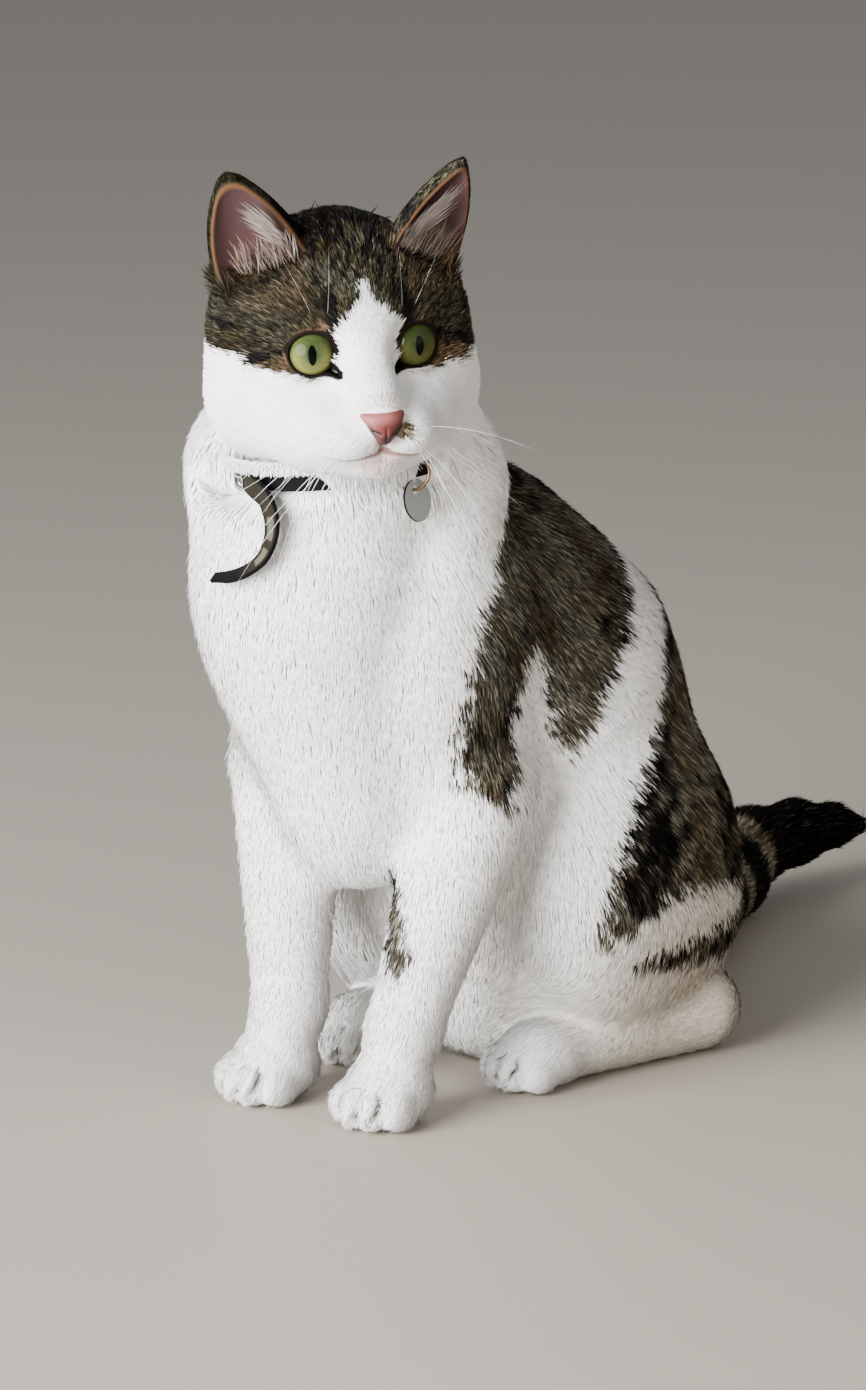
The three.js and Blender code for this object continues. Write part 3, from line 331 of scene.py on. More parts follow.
def tailForm(p):
    d = np.full(len(p), 400.0)
    for (a, ra), (b, rb) in zip(tail[:-1], tail[1:]):
        d = join(d, limb(p, a, b, ra, rb), 8)
    return d


def bodyForm(p):
    d = None
    for softly, kind, *shape in trunk.values():
        mass = kind(p, *shape)
        d = mass if d is None else join(d, mass, softly)
    upper = np.minimum(*[foreLegForm(p, leg) for leg in foreLegs])
    for leg in hindLegs:
        upper = join(upper, blob(p, *leg["thigh"]), 6)
    d = join(d, upper, 16)
    for leg in hindLegs:
        d = join(d, shanksNear(p, leg, 100), 6)
    d = join(d, nearby(p, head["at"], 105, headMass), 12)
    m = np.abs(p[:, 2] - collar["at"][2]) < 30
    if m.any():
        d[m] = carve(d[m], throatGroove(p[m]), throat["blend"])
    for leg in legs:
        scale = 1.0 if leg in foreLegs else 0.97
        d = join(d, nearby(p, leg["foot"], 60, lambda s: pawForm(s, leg, scale)), 6)
    m = p[:, 1] > 150
    if m.any():
        d[m] = join(d[m], tailForm(p[m]), 12)
    return d


# depth of the coat: thin on the face, ears, feet and lower legs
coat = {
    "body": 1.9, "breast": 0.1, "foreleg": 1.2, "hindfoot": 1.3, "paw": 0.9, "muzzle": 0.7, "skull": 1.7,
    "ear": 0.5,
}


def coatDepth(p):
    q = toHead(p)
    d = coat["body"] + coat["breast"] * ramp(-p[:, 1], -20, 20)
    d = mix(d, coat["foreleg"], (1 - ramp(p[:, 2], 45, 150)) * (1 - ramp(p[:, 1], 45, 62)))
    for leg in hindLegs:
        d = mix(d, coat["hindfoot"], 1 - ramp(shanksNear(p, leg, 90), 0, 9))
    d = mix(d, coat["paw"], 1 - ramp(p[:, 2], 6, 26))
    face = coat["muzzle"] + coat["skull"] * ramp(size(q - vec(0, -56, -14)), 22, 84)
    d = mix(d, face, 1 - ramp(size(q), 62, 88))
    for side in ears:
        l = inEar(q, side)
        d = mix(d, coat["ear"], ramp(l[:, 2], -2, 5) * (np.abs(l[:, 0]) < 26) * (np.abs(l[:, 1]) < 22))
    return d


def skinForm(p):
    d = bodyForm(p) + coatDepth(p)
    m = p[:, 2] < 24
    if m.any():
        h = d[m]
        for leg in legs:
            l = (p[m] - leg["foot"]) @ turnZ(leg["turn"])
            for x in creases:
                h = carve(h, limb(l, (x, -22.5, 2), (x * 0.85, -14, 17), 1.1, 0.4), 2.4)
        d[m] = h
    m = ((p - head["at"]) ** 2).sum(-1) < 110 ** 2
    if m.any():
        q = toHead(p[m])
        h = d[m]
        for side in ears:
            outer, cup = earForms(q, side)
            h = carve(join(h, outer + 0.3, 5), cup, 1.2)
        h = carve(h, lidOpening(q), 1.0)
        h = carve(h, lipGroove(q), 1.0)
        d[m] = h
    return np.maximum(d, 0.5 - p[:, 2])


# a net of quads over a form's zero level
corners = np.array([(i, j, k) for k in (0, 1) for j in (0, 1) for i in (0, 1)])
cellEdges = [
    (a, b) for a in range(8) for b in range(a + 1, 8) if np.abs(corners[a] - corners[b]).sum() == 1
]


def shift(a, c, n):
    return a[c[0]:n[0] - 1 + c[0], c[1]:n[1] - 1 + c[1], c[2]:n[2] - 1 + c[2]]


def settle(points, form, rounds=3, step=1.0):
    e = 0.1
    for _ in range(rounds):
        v = form(points)
        g = np.stack([(form(points + e * np.eye(3)[k]) - v) / e for k in range(3)], -1)
        move = g * (v / np.maximum((g * g).sum(-1), 0.15))[:, None]
        far = np.linalg.norm(move, axis=-1, keepdims=True)
        points = points - move * np.minimum(1, step / np.maximum(far, 1e-9))
    return points, unit(g)


def netOver(form, lo, hi, cell, keep, block=4):
    lo = np.asarray(lo, float)
    n = np.ceil((np.asarray(hi, float) - lo) / (cell * block)).astype(int) * block + 1
    coarse = [np.arange(0, s, block) * cell + o for s, o in zip(n, lo)]
    grid = np.stack(np.meshgrid(*coarse, indexing="ij"), -1)
    value = form(grid.reshape(-1, 3)).reshape(grid.shape[:3])
    m = np.array(value.shape)
    close = np.min([np.abs(shift(value, c, m)) for c in corners], axis=0) < block * cell * 1.5
    live = np.zeros(n, bool)
    for i, j, k in np.argwhere(close) * block:
        live[i:i + block + 1, j:j + block + 1, k:k + block + 1] = True
    full = np.repeat(np.repeat(np.repeat(value, block, 0), block, 1), block, 2)[:n[0], :n[1], :n[2]].copy()
    full[live] = form(np.argwhere(live) * cell + lo)
    count = np.sum([shift(full, c, n) < 0 for c in corners], axis=0)
    mixed = (count > 0) & (count < 8)
    cells = np.argwhere(mixed)
    number = np.full(mixed.shape, -1)
    number[mixed] = np.arange(len(cells))
    # one point in each cell, midway between the places where its edges cross the surface
    total = np.zeros((len(cells), 3))
    hits = np.zeros(len(cells))
    for a, b in cellEdges:
        va = full[tuple((cells + corners[a]).T)]
        vb = full[tuple((cells + corners[b]).T)]
        cross = (va < 0) != (vb < 0)
        t = np.where(cross, va / np.where(cross, va - vb, 1), 0)
        total += np.where(cross[:, None], corners[a] + t[:, None] * (corners[b] - corners[a]), 0)
        hits += cross
    points = (cells + total / hits[:, None]) * cell + lo
    # one quad for each grid edge that crosses it
    quads = []
    for d in range(3):
        u, v = np.eye(3, dtype=int)[(d + 1) % 3], np.eye(3, dtype=int)[(d + 2) % 3]
        here = [slice(1, s - 1) for s in n]
        after = list(here)
        after[d] = slice(2, n[d])
        first = full[tuple(here)] < 0
        second = full[tuple(after)] < 0
        for flip, mask in ((False, first & ~second), (True, ~first & second)):
            g = np.argwhere(mask) + 1
            q = np.stack([number[tuple((g - o).T)] for o in (u + v, v, 0 * u, u)], 1)
            quads.append(q[:, ::-1] if flip else q)
    quads = np.concatenate(quads)
    quads = quads[(quads >= 0).all(1)]
    for _ in range(2):
        total = np.zeros_like(points)
        hits = np.zeros(len(points))
        for i in range(4):
            np.add.at(total, quads[:, i], points[quads[:, (i + 1) % 4]] + points[quads[:, (i + 3) % 4]])
            np.add.at(hits, quads[:, i], 2)
        used = hits > 0
        points[used] = mix(points[used], total[used] / hits[used][:, None], 0.5)
    points, normals = settle(points, form, step=cell)
    quads = quads[keep(points[quads].mean(1))]
    index, flat = np.unique(quads, return_inverse=True)
    return points[index], normals[index], flat.reshape(-1, 4)


def inEarBox(p, low, grow):
    q = toHead(p)
    hit = np.zeros(len(p), bool)
    for side in ears:
        l = inEar(q, side)
        hit |= (np.abs(l[:, 0]) < 24 + grow) & (np.abs(l[:, 1]) < 22 + grow) & (l[:, 2] > low)
    return hit


def footReach(p):
    return np.min([np.hypot(p[:, 0] - leg["foot"][0], p[:, 1] - leg["foot"][1]) for leg in legs], axis=0)


def inFace(p, spare):
    q = toHead(p)
    front = (q[:, 1] < -24 + spare) & (np.abs(q[:, 0]) < 40 + spare)
    return front & (headLevel(p) > 3 - spare) & (q[:, 2] < 24 + spare)


skinCell = {"trunk": 2.7, "head": 1.4, "face": 0.75, "feet": 1.4, "ear": 0.85}


def skinZones():
    h = head["at"]
    zones = [
        ("trunk", (-88, -66, -6), (114, 476, 322),
         lambda p: (headLevel(p) < 2) & ~((footReach(p) < 31) & (p[:, 2] < 31))),
        ("head", h - 72, h + 74, lambda p: (headLevel(p) > -2) & ~inFace(p, -2) & ~inEarBox(p, -1, -1)),
        ("face", h + vec(-10, -66, -62), h + vec(72, 34, 30), lambda p: inFace(p, 2)),
        ("feet", (-58, -40, -3), (86, 112, 38), lambda p: (footReach(p) < 34) & (p[:, 2] < 34)),
    ]
    for side in ears:
        c = fromHead((ears[side]["base"] + ears[side]["up"] * 20) * vec(side, 1, 1))
        keep = lambda p, s=side: inEarBox(p, -3, 1) & (toHead(p)[:, 0] * s > 0)
        zones.append(("ear", c - 38, c + 38, keep))
    parts = []
    for name, lo, hi, keep in zones:
        parts.append(netOver(skinForm, lo, hi, skinCell[name], keep))
        report(f"skin {name}: {len(parts[-1][2])} quads")
    return parts


# from millimetres about the forepaws to metres in the frame
low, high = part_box("collar")
place = (np.array(low) + np.array(high)) * 500 - collar["at"]


def toFrame(p):
    return (np.asarray(p, float) + place) / 1000


def finishPiece(name, mesh, material, tint):
    if tint is not None:
        layer = mesh.color_attributes.new("tint", "FLOAT_COLOR", "POINT")
        solid = np.concatenate([tint, np.ones((len(tint), 1))], 1)
        layer.data.foreach_set("color", solid.astype(np.float32).ravel())
    mesh.materials.append(material)
    piece = bpy.data.objects.new(name, mesh)
    bpy.context.scene.collection.objects.link(piece)
    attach(piece, "root")
    return piece


# a big mesh whose faces all have the same number of corners
def meshOf(name, points, faces, material, tint=None, normals=None, patch=None):
    faces = np.asarray(faces)
    side = faces.shape[1]
    mesh = bpy.data.meshes.new(name)
    mesh.vertices.add(len(points))
    mesh.vertices.foreach_set("co", toFrame(points).astype(np.float32).ravel())
    mesh.loops.add(faces.size)
    mesh.loops.foreach_set("vertex_index", faces.astype(np.int32).ravel())
    mesh.polygons.add(len(faces))
    mesh.polygons.foreach_set("loop_start", np.arange(0, faces.size, side, dtype=np.int32))
    mesh.polygons.foreach_set("loop_total", np.full(len(faces), side, np.int32))
    mesh.update(calc_edges=True)
    mesh.polygons.foreach_set("use_smooth", np.ones(len(faces), bool))
    if patch is not None:
        layer = mesh.uv_layers.new(name="OFBake")
        layer.data.foreach_set("uv", patch[faces.ravel()].astype(np.float32).ravel())
    if normals is not None:
        mesh.normals_split_custom_set_from_vertices(normals.astype(np.float32))
    return finishPiece(name, mesh, material, tint)


def smallMesh(name, points, faces, material, tint=None, slot=None, smooth=False):
    mesh = bpy.data.meshes.new(name)
    mesh.from_pydata([tuple(v) for v in toFrame(points)], [], [tuple(int(i) for i in f) for f in faces])
    mesh.update()
    for polygon in mesh.polygons:
        polygon.use_smooth = smooth
    return finishPiece(name, mesh, material, tint)


# bump is the grain's scale, its strength and its depth in metres
def matter(name, colour=(0.8, 0.8, 0.8), roughness=0.6, tinted=False, bump=None, **shader):
    m = bpy.data.materials.new(name)
    m.use_nodes = True
    nodes, links = m.node_tree.nodes, m.node_tree.links
    s = nodes["Principled BSDF"]
    s.inputs["Base Color"].default_value = (*colour, 1)
    s.inputs["Roughness"].default_value = roughness
    for key, value in shader.items():
        s.inputs[key.replace("_", " ")].default_value = value
    if tinted:
        a = nodes.new("ShaderNodeAttribute")
        a.attribute_name = "tint"
        links.new(a.outputs["Color"], s.inputs["Base Color"])
    if bump:
        grain = nodes.new("ShaderNodeTexNoise")
        grain.inputs["Scale"].default_value = bump[0]
        grain.inputs["Detail"].default_value = 3
        lift = nodes.new("ShaderNodeBump")
        lift.inputs["Strength"].default_value = bump[1]
        lift.inputs["Distance"].default_value = bump[2]
        where = nodes.new("ShaderNodeTexCoord")
        links.new(where.outputs["Object"], grain.inputs["Vector"])
        links.new(grain.outputs["Fac"], lift.inputs["Height"])
        links.new(lift.outputs["Normal"], s.inputs["Normal"])
    return m


# distance to a closed outline, above zero inside
def edgeDistance(x, y, outline):
    d = np.full(len(x), 1e9)
    inside = np.zeros(len(x), bool)
    for (ax, ay), (bx, by) in zip(outline, outline[1:] + outline[:1]):
        ex, ey = bx - ax, by - ay
        t = np.clip(((x - ax) * ex + (y - ay) * ey) / (ex * ex + ey * ey), 0, 1)
        d = np.minimum(d, (x - ax - t * ex) ** 2 + (y - ay - t * ey) ** 2)
        cross = (ay > y) != (by > y)
        inside ^= cross & (x < ax + (y - ay) / (ey if ey else 1e-9) * ex)
    return np.where(inside, 1, -1) * np.sqrt(d)


# outlines of the dark markings: the first three as (y, z) on the sides, the others as (x, z) from the front
marking = {
    "saddle": [
        (84, 274), (70, 256), (59, 250), (46, 240), (40, 230), (36, 220), (32, 213), (26, 207), (24, 200),
        (21, 187), (18, 174), (18, 157), (20, 138), (26, 129), (33, 126), (38, 136), (41, 150), (45, 169),
        (51, 181), (58, 189), (62, 184), (66, 170), (73, 150), (82, 142), (88, 152), (92, 165), (100, 176),
        (109, 185), (122, 200), (150, 236), (130, 290),
    ],
    "haunch": [
        (176, 222), (152, 196), (138, 180), (128, 160), (119, 142), (110, 130), (100, 120), (92, 105),
        (86, 92), (82, 80), (80, 69), (84, 62), (90, 64), (98, 69), (108, 76), (122, 79), (142, 76),
        (160, 75), (178, 70), (200, 54), (212, 10), (260, 10), (250, 180),
    ],
    "stripe": [
        (98, 50), (110, 48), (125, 46), (150, 45), (172, 46), (190, 50), (190, 62), (172, 59), (150, 58),
        (125, 56), (110, 53),
    ],
    "foreleg": [(16, 96), (22, 97), (33, 84), (41, 66), (38, 60), (30, 62), (28, 72), (20, 84)],
    "cap": [
        (-80, 16), (-62, 5), (-53, 3), (-52.6, -0.3), (-49, -0.7), (-44.3, -0.8), (-43.2, -4), (-37, -7),
        (-30.6, -8.5), (-22, -9.5), (-14.5, -7), (-13.3, 0), (-12.9, 4), (-12.2, 8), (-10.6, 10),
        (-8.1, 13), (-5.5, 15.8), (-2.9, 18.6), (-1.1, 21.4), (0.9, 24), (2.4, 22.2), (4.3, 19.2),
        (6.5, 16.6), (9.6, 14.4), (13.1, 12), (14.8, 9.1), (15.6, 6.5), (15.1, 3.4), (14.8, -7),
        (22, -9.2), (30, -10), (35, -9.2), (41.4, -11), (45, -9.3), (52, -8), (62, -6), (80, 4),
        (80, 90), (-80, 90),
    ],
}
streaks = (  # dark lines on the face with their half widths
    ((-15.5, -37, 22), (-13.3, -39.5, 17.5), 1.6, 2.6),
    ((-13.3, -39.5, 17.5), (-12.6, -40.5, 10.5), 2.6, 1.9),
    ((14.5, -36, 23), (16.6, -37.5, 17.5), 1.6, 2.6), ((16.6, -37.5, 17.5), (18, -38, 9), 2.6, 1.9),
    ((-31, -33, 3.4), (-38.9, -23.6, -0.9), 1.5, 1.9), ((-38.9, -23.6, -0.9), (-43.5, -20, -3.8), 1.9, 1.4),
    ((31.5, -32, 4.2), (40.8, -22, 0.5), 1.5, 1.9), ((40.8, -22, 0.5), (45, -18.5, -2.6), 1.9, 1.4),
    ((-46, -14, 10), (-52, 6, 12), 0.8, 1.8), ((46, -14, 10), (53, 4, 10), 0.8, 1.8),
)
paint = {
    "white": (0.90, 0.89, 0.875), "brown": (0.060, 0.047, 0.028), "black": (0.005, 0.0045, 0.004),
    "grey": (0.098, 0.086, 0.060), "tan": (0.14, 0.080, 0.040), "pink": (0.55, 0.30, 0.27),
    "lid": (0.007, 0.0045, 0.0038), "lip": (0.17, 0.07, 0.058), "spot": (0.085, 0.054, 0.022),
    "earFront": (0.060, 0.040, 0.024), "earPink": (0.072, 0.040, 0.040), "earDeep": (0.15, 0.058, 0.055),
    # the nostril colour is painted shade in the nostrils and under the nose
    "earInner": (0.10, 0.06, 0.05), "earRim": (0.095, 0.046, 0.023), "nostril": (0.018, 0.007, 0.006),
    # the cream tint is partly a real cream stain in the fur and partly painted warm light bounced from the
    # floor
    "creamAndFloorBounce": (0.78, 0.71, 0.60), "headCast": (0.97, 1.05, 1.02), "bodyCast": (1.0, 1.07, 1.2),
}
paint = {name: vec(*colour) for name, colour in paint.items()}


# how far inside a dark marking each point is, and how black that marking is there
def darkness(p):
    x, y, z = p.T
    ridge = mix(-4, 16, ramp(z, 230, 80))
    right = 1 - ramp(x - ridge, -26, 18)
    sy = y + right * (7 * np.sin(z / 26) - 19 * ramp(z, 230, 150))
    sz = z + right * (8 * np.sin(y / 24) + 6)
    d = np.max([edgeDistance(sy, sz, marking[name]) for name in ("saddle", "haunch", "stripe")], axis=0)
    onForeleg = (x > 5) & (x < 48) & (y < 26)
    d = np.where(onForeleg, np.maximum(d, edgeDistance(x, z, marking["foreleg"])), d)
    d = np.where(y > 205, np.maximum(d, y - 200), d)
    q = toHead(p)
    hood = edgeDistance(q[:, 0], q[:, 2], marking["cap"])
    hood = np.minimum(hood, (q[:, 2] + 26 + 0.7 * np.minimum(0, 30 - q[:, 1])) * 0.9)
    nape = 21 - np.abs(q[:, 0]) - 0.75 * np.maximum(0, -8 - q[:, 2])
    hood = np.where(q[:, 1] < 20, hood, np.maximum(hood, nape))
    onHead = (size(q - vec(0, 0, 15)) < 85) & (headLevel(p) > -10)
    d = np.where(onHead, np.maximum(hood, np.where(headLevel(p) > 4, -99, d)), d)
    # broad and fine mottling on the body, then rings and a line along the tail
    black = 0.38 - 0.10 * ramp(y, 120, 170) + 0.26 * waves(p * vec(1, 1, 0.6), 60, 1)
    black = black + 0.16 * waves(p, 15, 2) + 0.16 * waves(p * vec(1, 1, 0.4), 4.5, 12)
    rings = np.minimum(np.abs(y - 341) / 7, np.abs(y - 379) / 8)
    bands = 0.55 + 0.5 * np.sin((y + 3 * waves(p, 12, 16) - 206) / 6.3)
    dorsal = ramp(z - np.interp(y, tailLine[:, 1], tailLine[:, 2]), 4, 14)
    bands = np.where(y < 322, np.maximum(bands, 0.8 * dorsal), ramp(rings, 0.5, 1.3))
    black = mix(black, bands, ramp(y, 212, 226))
    # streaks, bars and flecks on the head
    line = np.min([limb(q, *s) for s in streaks], axis=0) + 0.5 * waves(q, 6, 3)
    aside = np.abs(q[:, 0])
    crown = ramp(q[:, 2] - 0.3 * aside + 4 * waves(q, 14, 14), 30, 40) * (aside < 30)
    fan = q[:, 0] / (1 + 0.018 * (q[:, 2] - 20))
    bars = np.cos(fan * (fullTurn / 6.0) + 1.3 * waves(q, 13, 3))
    bars = bars * (1 - ramp(aside, 20, 34)) * ramp(q[:, 2], 14, 22)
    flecks = waves(q * vec(1.3, 0.8, 1.7), 4.2, 4) + 0.6 * waves(q * vec(1.3, 0.8, 1.7), 2.4, 15)
    face = 0.30 + 0.28 * flecks + 0.6 * np.clip(bars, -0.3, 1) + 1.1 * ramp(line, 1.4, -0.6) + 0.75 * crown
    return d, np.clip(np.where(onHead, face, black), 0, 1.15), q, onHead


# colour of the coat; chance is a number from 0 to 1 for each tuft
def coatColour(p, chance=None):
    chance = np.full(len(p), 0.5) if chance is None else chance
    x, y, z = p.T
    d, black, q, onHead = darkness(p)
    soft = np.where(onHead, 1.6, 3.2)
    d = d + soft * (0.35 * waves(p, 9, 5) + 0.25 * waves(p, 3, 6))
    mark = ramp(d / soft + (chance - 0.5) * 2.2, -0.5, 0.5)
    tick = np.clip(black + (chance - 0.5) * 0.5, 0, 1.1)
    dark = blend(paint["brown"], paint["grey"], (0.5 + 0.5 * waves(p, 30, 7)) * 0.6)
    dark = dark * np.where(onHead[:, None], paint["headCast"], paint["bodyCast"])
    # the brown is darkened on the head and lightened towards the haunch: painted shade on the brightly lit
    # head and painted light on the shaded body
    dark = dark * np.where(onHead, 0.36, mix(1.2, 2.2, ramp(y, 90, 160)))[:, None]
    dark = blend(dark, paint["black"] * mix(1, 0.5, ramp(y, 212, 240))[:, None], ramp(tick, 0.25, 0.95))
    # warmer about the eyes and at the foot of the ears
    a = folded(q)
    corner = 0.7 * (1 - ramp(size(a - vec(31.0, -33.5, -1.5)), 1.5, 5.5))
    under = 0.3 * (1 - ramp(limb(a, (31, -31, -6), (41, -22, -7), 1, 1), 1, 5))
    over = 0.5 * (1 - ramp(limb(a, (17, -40, 10.5), (28, -36, 9), 1, 1), 0.5, 2.5))
    dark = blend(dark, paint["tan"], onHead * np.max([corner, under, over], axis=0) * (tick < 0.8))
    for side in ears:
        l = inEar(q, side)
        front = (l[:, 1] < 4) * (1 - ramp(np.abs(l[:, 2] + 1), 4, 9)) * (1 - ramp(np.abs(l[:, 0]), 14, 22))
        dark = blend(dark, paint["earFront"], onHead * 0.5 * front)
    colour = blend(np.broadcast_to(paint["white"], p.shape), dark, mark)
    spot = onHead * (1 - ramp(size((q - vec(8.2, -60, -28.6)) / vec(1.3, 2, 1)), 2.8, 4.6))
    colour = blend(colour, paint["spot"], 0.95 * spot)
    for leg in legs:
        l = (p - leg["foot"]) @ turnZ(leg["turn"])
        # painted shade in the creases between the toes
        crease = np.min([np.abs(l[:, 0] - c) for c in creases], axis=0)
        between = (1 - ramp(crease, 0.3, 1.1)) * ramp(-l[:, 1], 11, 15)
        between = between * (1 - ramp(l[:, 2], 13, 18)) * (np.abs(l[:, 0]) < 12)
        colour = colour * (1 - 0.2 * between)[:, None]
    # cream on the lower hind parts, and a little on all below the back: partly a real cream stain, partly
    # painted warm light bounced from the floor
    creamAndBounce = ramp(y, 55, 120) * (1 - ramp(z, 40, 120)) * ramp(x, -10, 10)
    colour = blend(colour, colour * paint["creamAndFloorBounce"], 0.9 * creamAndBounce + 0.12 * (z < 200))
    snout = 0.3 * (1 - ramp(size(q - vec(0, -60, -25)), 9, 14))
    chin = 0.55 * (1 - ramp(size((q - vec(0, -55, -41)) / vec(1.5, 1, 0.8)), 3, 9))
    return blend(colour, paint["pink"], onHead * np.maximum(snout, chin) * (1 - spot))


# distance to the lids' opening, how far up and how near the nose from 0 to 1, and distance to the eye
def aboutEye(q):
    a = folded(q)
    beside = ramp(eye["opening"][0] - a[:, 0], 1, 7)
    return lidOpening(q), ramp(q[:, 2], -3, 5), beside, size(a - eye["opening"])


# the skin, one mesh, bare at the lids, the lips and in the ears
skinParts = skinZones()
points = np.concatenate([s[0] for s in skinParts])
normals = np.concatenate([s[1] for s in skinParts])
starts = np.cumsum([0] + [len(s[0]) for s in skinParts[:-1]])
quads = np.concatenate([s[2] + o for s, o in zip(skinParts, starts)])
skinColour = coatColour(points)
q = toHead(points)
lid, upper, beside, far = aboutEye(q)
beside = 0.7 * beside
rim = (1 - ramp(lid, 0.9 + 0.5 * upper + beside, 1.5 + 0.9 * upper + beside)) * (far < 15)
skinColour = blend(skinColour, paint["lid"], rim)
lips = (1 - ramp(lipGroove(q), 0.1, 1.5)) * (q[:, 1] < -34)
skinColour = blend(skinColour, paint["lip"], 0.85 * lips)
# painted shade on the skin in the nostrils and under the nose
besideNose = (1 - ramp(noseForm(q), 0.1, 0.7)) * ramp(-q[:, 2], 24, 27) * (q[:, 1] < -50)
skinColour = blend(skinColour, paint["nostril"], besideNose)
for side in ears:
    l = inEar(q, side)
    outer, cup = earForms(q, side)
    near = (np.abs(l[:, 0]) < 24) * (np.abs(l[:, 1]) < 24)
    within = (1 - ramp(cup, 0.1, 0.9)) * ramp(l[:, 2], -6, 0) * near
    deep = ramp(l[:, 1], -2, 12) * (1 - ramp(l[:, 2], 4, 26))
    pink = blend(paint["earPink"], paint["earDeep"], deep)
    pink = blend(pink, paint["earInner"], 0.6 * ramp(-l[:, 0], 4, 13))
    skinColour = blend(skinColour, pink, within)
    edge = (1 - ramp(-outer, 0.7, 1.2)) * (1 - ramp(cup, 0.9, 1.8)) * ramp(l[:, 2], 0, 6) * near
    skinColour = blend(skinColour, paint["earRim"], edge)
skinMatter = matter("skin", roughness=0.8, tinted=True, bump=(1400, 0.3, 0.0004), Specular_IOR_Level=0.02)
skin = meshOf("skin", points, quads, skinMatter, skinColour, normals)
fleshParts = (
    "head", "ear", "neck", "torso", "belly", "rump", "thigh", "foreleg", "forepaw", "hindfoot", "hindpaw",
    "tail",
)
fleshNodes = [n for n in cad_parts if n.split("_")[0] in fleshParts]
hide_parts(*fleshNodes)
report(f"skin: {len(points)} points, {len(quads)} quads")

# which way the hair lies at places on the body
combed = (
    ((-10, -42, 232), (0, -0.1, -1)), ((-12, -46, 190), (0, 0, -1)), ((-4, -36, 140), (0, 0.15, -1)),
    ((0, -10, 95), (0, 0.5, -0.9)), ((40, -8, 262), (0.1, 0.3, -1)), ((-40, -10, 262), (-0.1, 0.3, -1)),
    ((58, 30, 265), (0, 0.6, -0.8)), ((-54, 30, 265), (0, 0.6, -0.8)), ((2, 70, 275), (0, 0.7, -0.7)),
    ((60, 40, 205), (0, 0.5, -0.85)), ((-66, 40, 205), (0, 0.5, -0.85)), ((62, 22, 165), (-0.05, 0.1, -1)),
    ((-68, 22, 165), (0.05, 0.1, -1)), ((2, 112, 225), (0, 0.6, -0.8)), ((8, 155, 170), (0, 0.5, -0.9)),
    ((14, 198, 110), (0, 0.4, -0.9)), ((15, 214, 50), (0, 0.8, -0.5)), ((72, 85, 165), (0, 0.7, -0.7)),
    ((-66, 85, 165), (0, 0.7, -0.7)), ((82, 90, 110), (0, 0.55, -0.85)), ((-66, 90, 110), (0, 0.55, -0.85)),
    ((95, 130, 90), (0, 0.5, -0.9)), ((-68, 130, 90), (0, 0.5, -0.9)), ((88, 100, 45), (-0.2, -0.3, -0.9)),
    ((-60, 100, 45), (0.2, -0.3, -0.9)), ((80, 185, 60), (0, 0.5, -0.9)), ((60, 60, 85), (0, 0.5, -0.9)),
    ((8, 60, 40), (0, 0.4, -0.9)), ((42, 20, 100), (0, -0.05, -1)), ((-46, 20, 100), (0, -0.05, -1)),
    ((34, 10, 60), (0, -0.1, -1)), ((-30, 10, 60), (0, -0.1, -1)), ((33, 2, 30), (0, -0.3, -0.9)),
    ((-29, 2, 30), (0, -0.3, -0.9)), ((31.5, -12, 24), (0, -0.9, -0.4)),
    ((-28.5, -12, 24), (0, -0.9, -0.4)),
    ((56, 85, 26), (-0.3, -0.9, -0.25)), ((-22, 85, 26), (0.25, -0.9, -0.25)),
    ((52, 64, 20), (-0.2, -0.9, -0.5)), ((-16, 62, 20), (0.2, -0.9, -0.5)),
    ((76, 155, 22), (-0.3, -0.9, -0.1)), ((-40, 155, 22), (0.25, -0.9, -0.1)),
)


def lieOf(p, n):
    total = np.zeros_like(p)
    for at, way in combed:
        w = 1 / (((p - vec(*at)) ** 2).sum(-1) + 14 ** 2) ** 2
        total += w[:, None] * unit(vec(*way))
    nearest = np.argmin(((p[:, None] - tailLine[None]) ** 2).sum(-1), axis=1)
    lie = blend(unit(total), unit(np.gradient(tailLine, axis=0))[nearest], ramp(p[:, 1], 196, 222))
    q = toHead(p)
    away = unit(q - vec(0, -64, -22)) + vec(0, 0, -0.15)
    onHead = ramp(headLevel(p), -12, 8) * (1 - ramp(size(q), 80, 95))
    lie = blend(lie, away @ head["turn"].T, onHead)
    for side in ears:
        l = inEar(q, side)
        up = (ears[side]["up"] * vec(side, 1, 1)) @ head["turn"].T
        lie = blend(lie, up, ramp(l[:, 2], 0, 7) * (np.abs(l[:, 0]) < 25) * (np.abs(l[:, 1]) < 22))
    lie = lie - (lie * n).sum(-1, keepdims=True) * n
    return unit(lie)


# places for tufts, more of them where density is higher
def scatter(count, density):
    tri = np.concatenate([quads[:, [0, 1, 2]], quads[:, [0, 2, 3]]])
    a, b, c = points[tri[:, 0]], points[tri[:, 1]], points[tri[:, 2]]
    area = size(np.cross(b - a, c - a)) / 2
    weight = area * density((a + b + c) / 3)
    pick = rng.choice(len(tri), count, p=weight / weight.sum())
    u = np.sqrt(rng.random(len(pick)))[:, None]
    v = rng.random(len(pick))[:, None]
    at = (1 - u) * a[pick] + u * (1 - v) * b[pick] + u * v * c[pick]
    t = tri[pick]
    n = unit((1 - u) * normals[t[:, 0]] + u * (1 - v) * normals[t[:, 1]] + u * v * normals[t[:, 2]])
    return at, n


# tufts for each square millimetre, none on bare skin
grown = {"body": (1.05, 1.7), "head": (2.4, 2.6), "ear": 3.0, "farSide": 0.75, "hidden": 0.12}


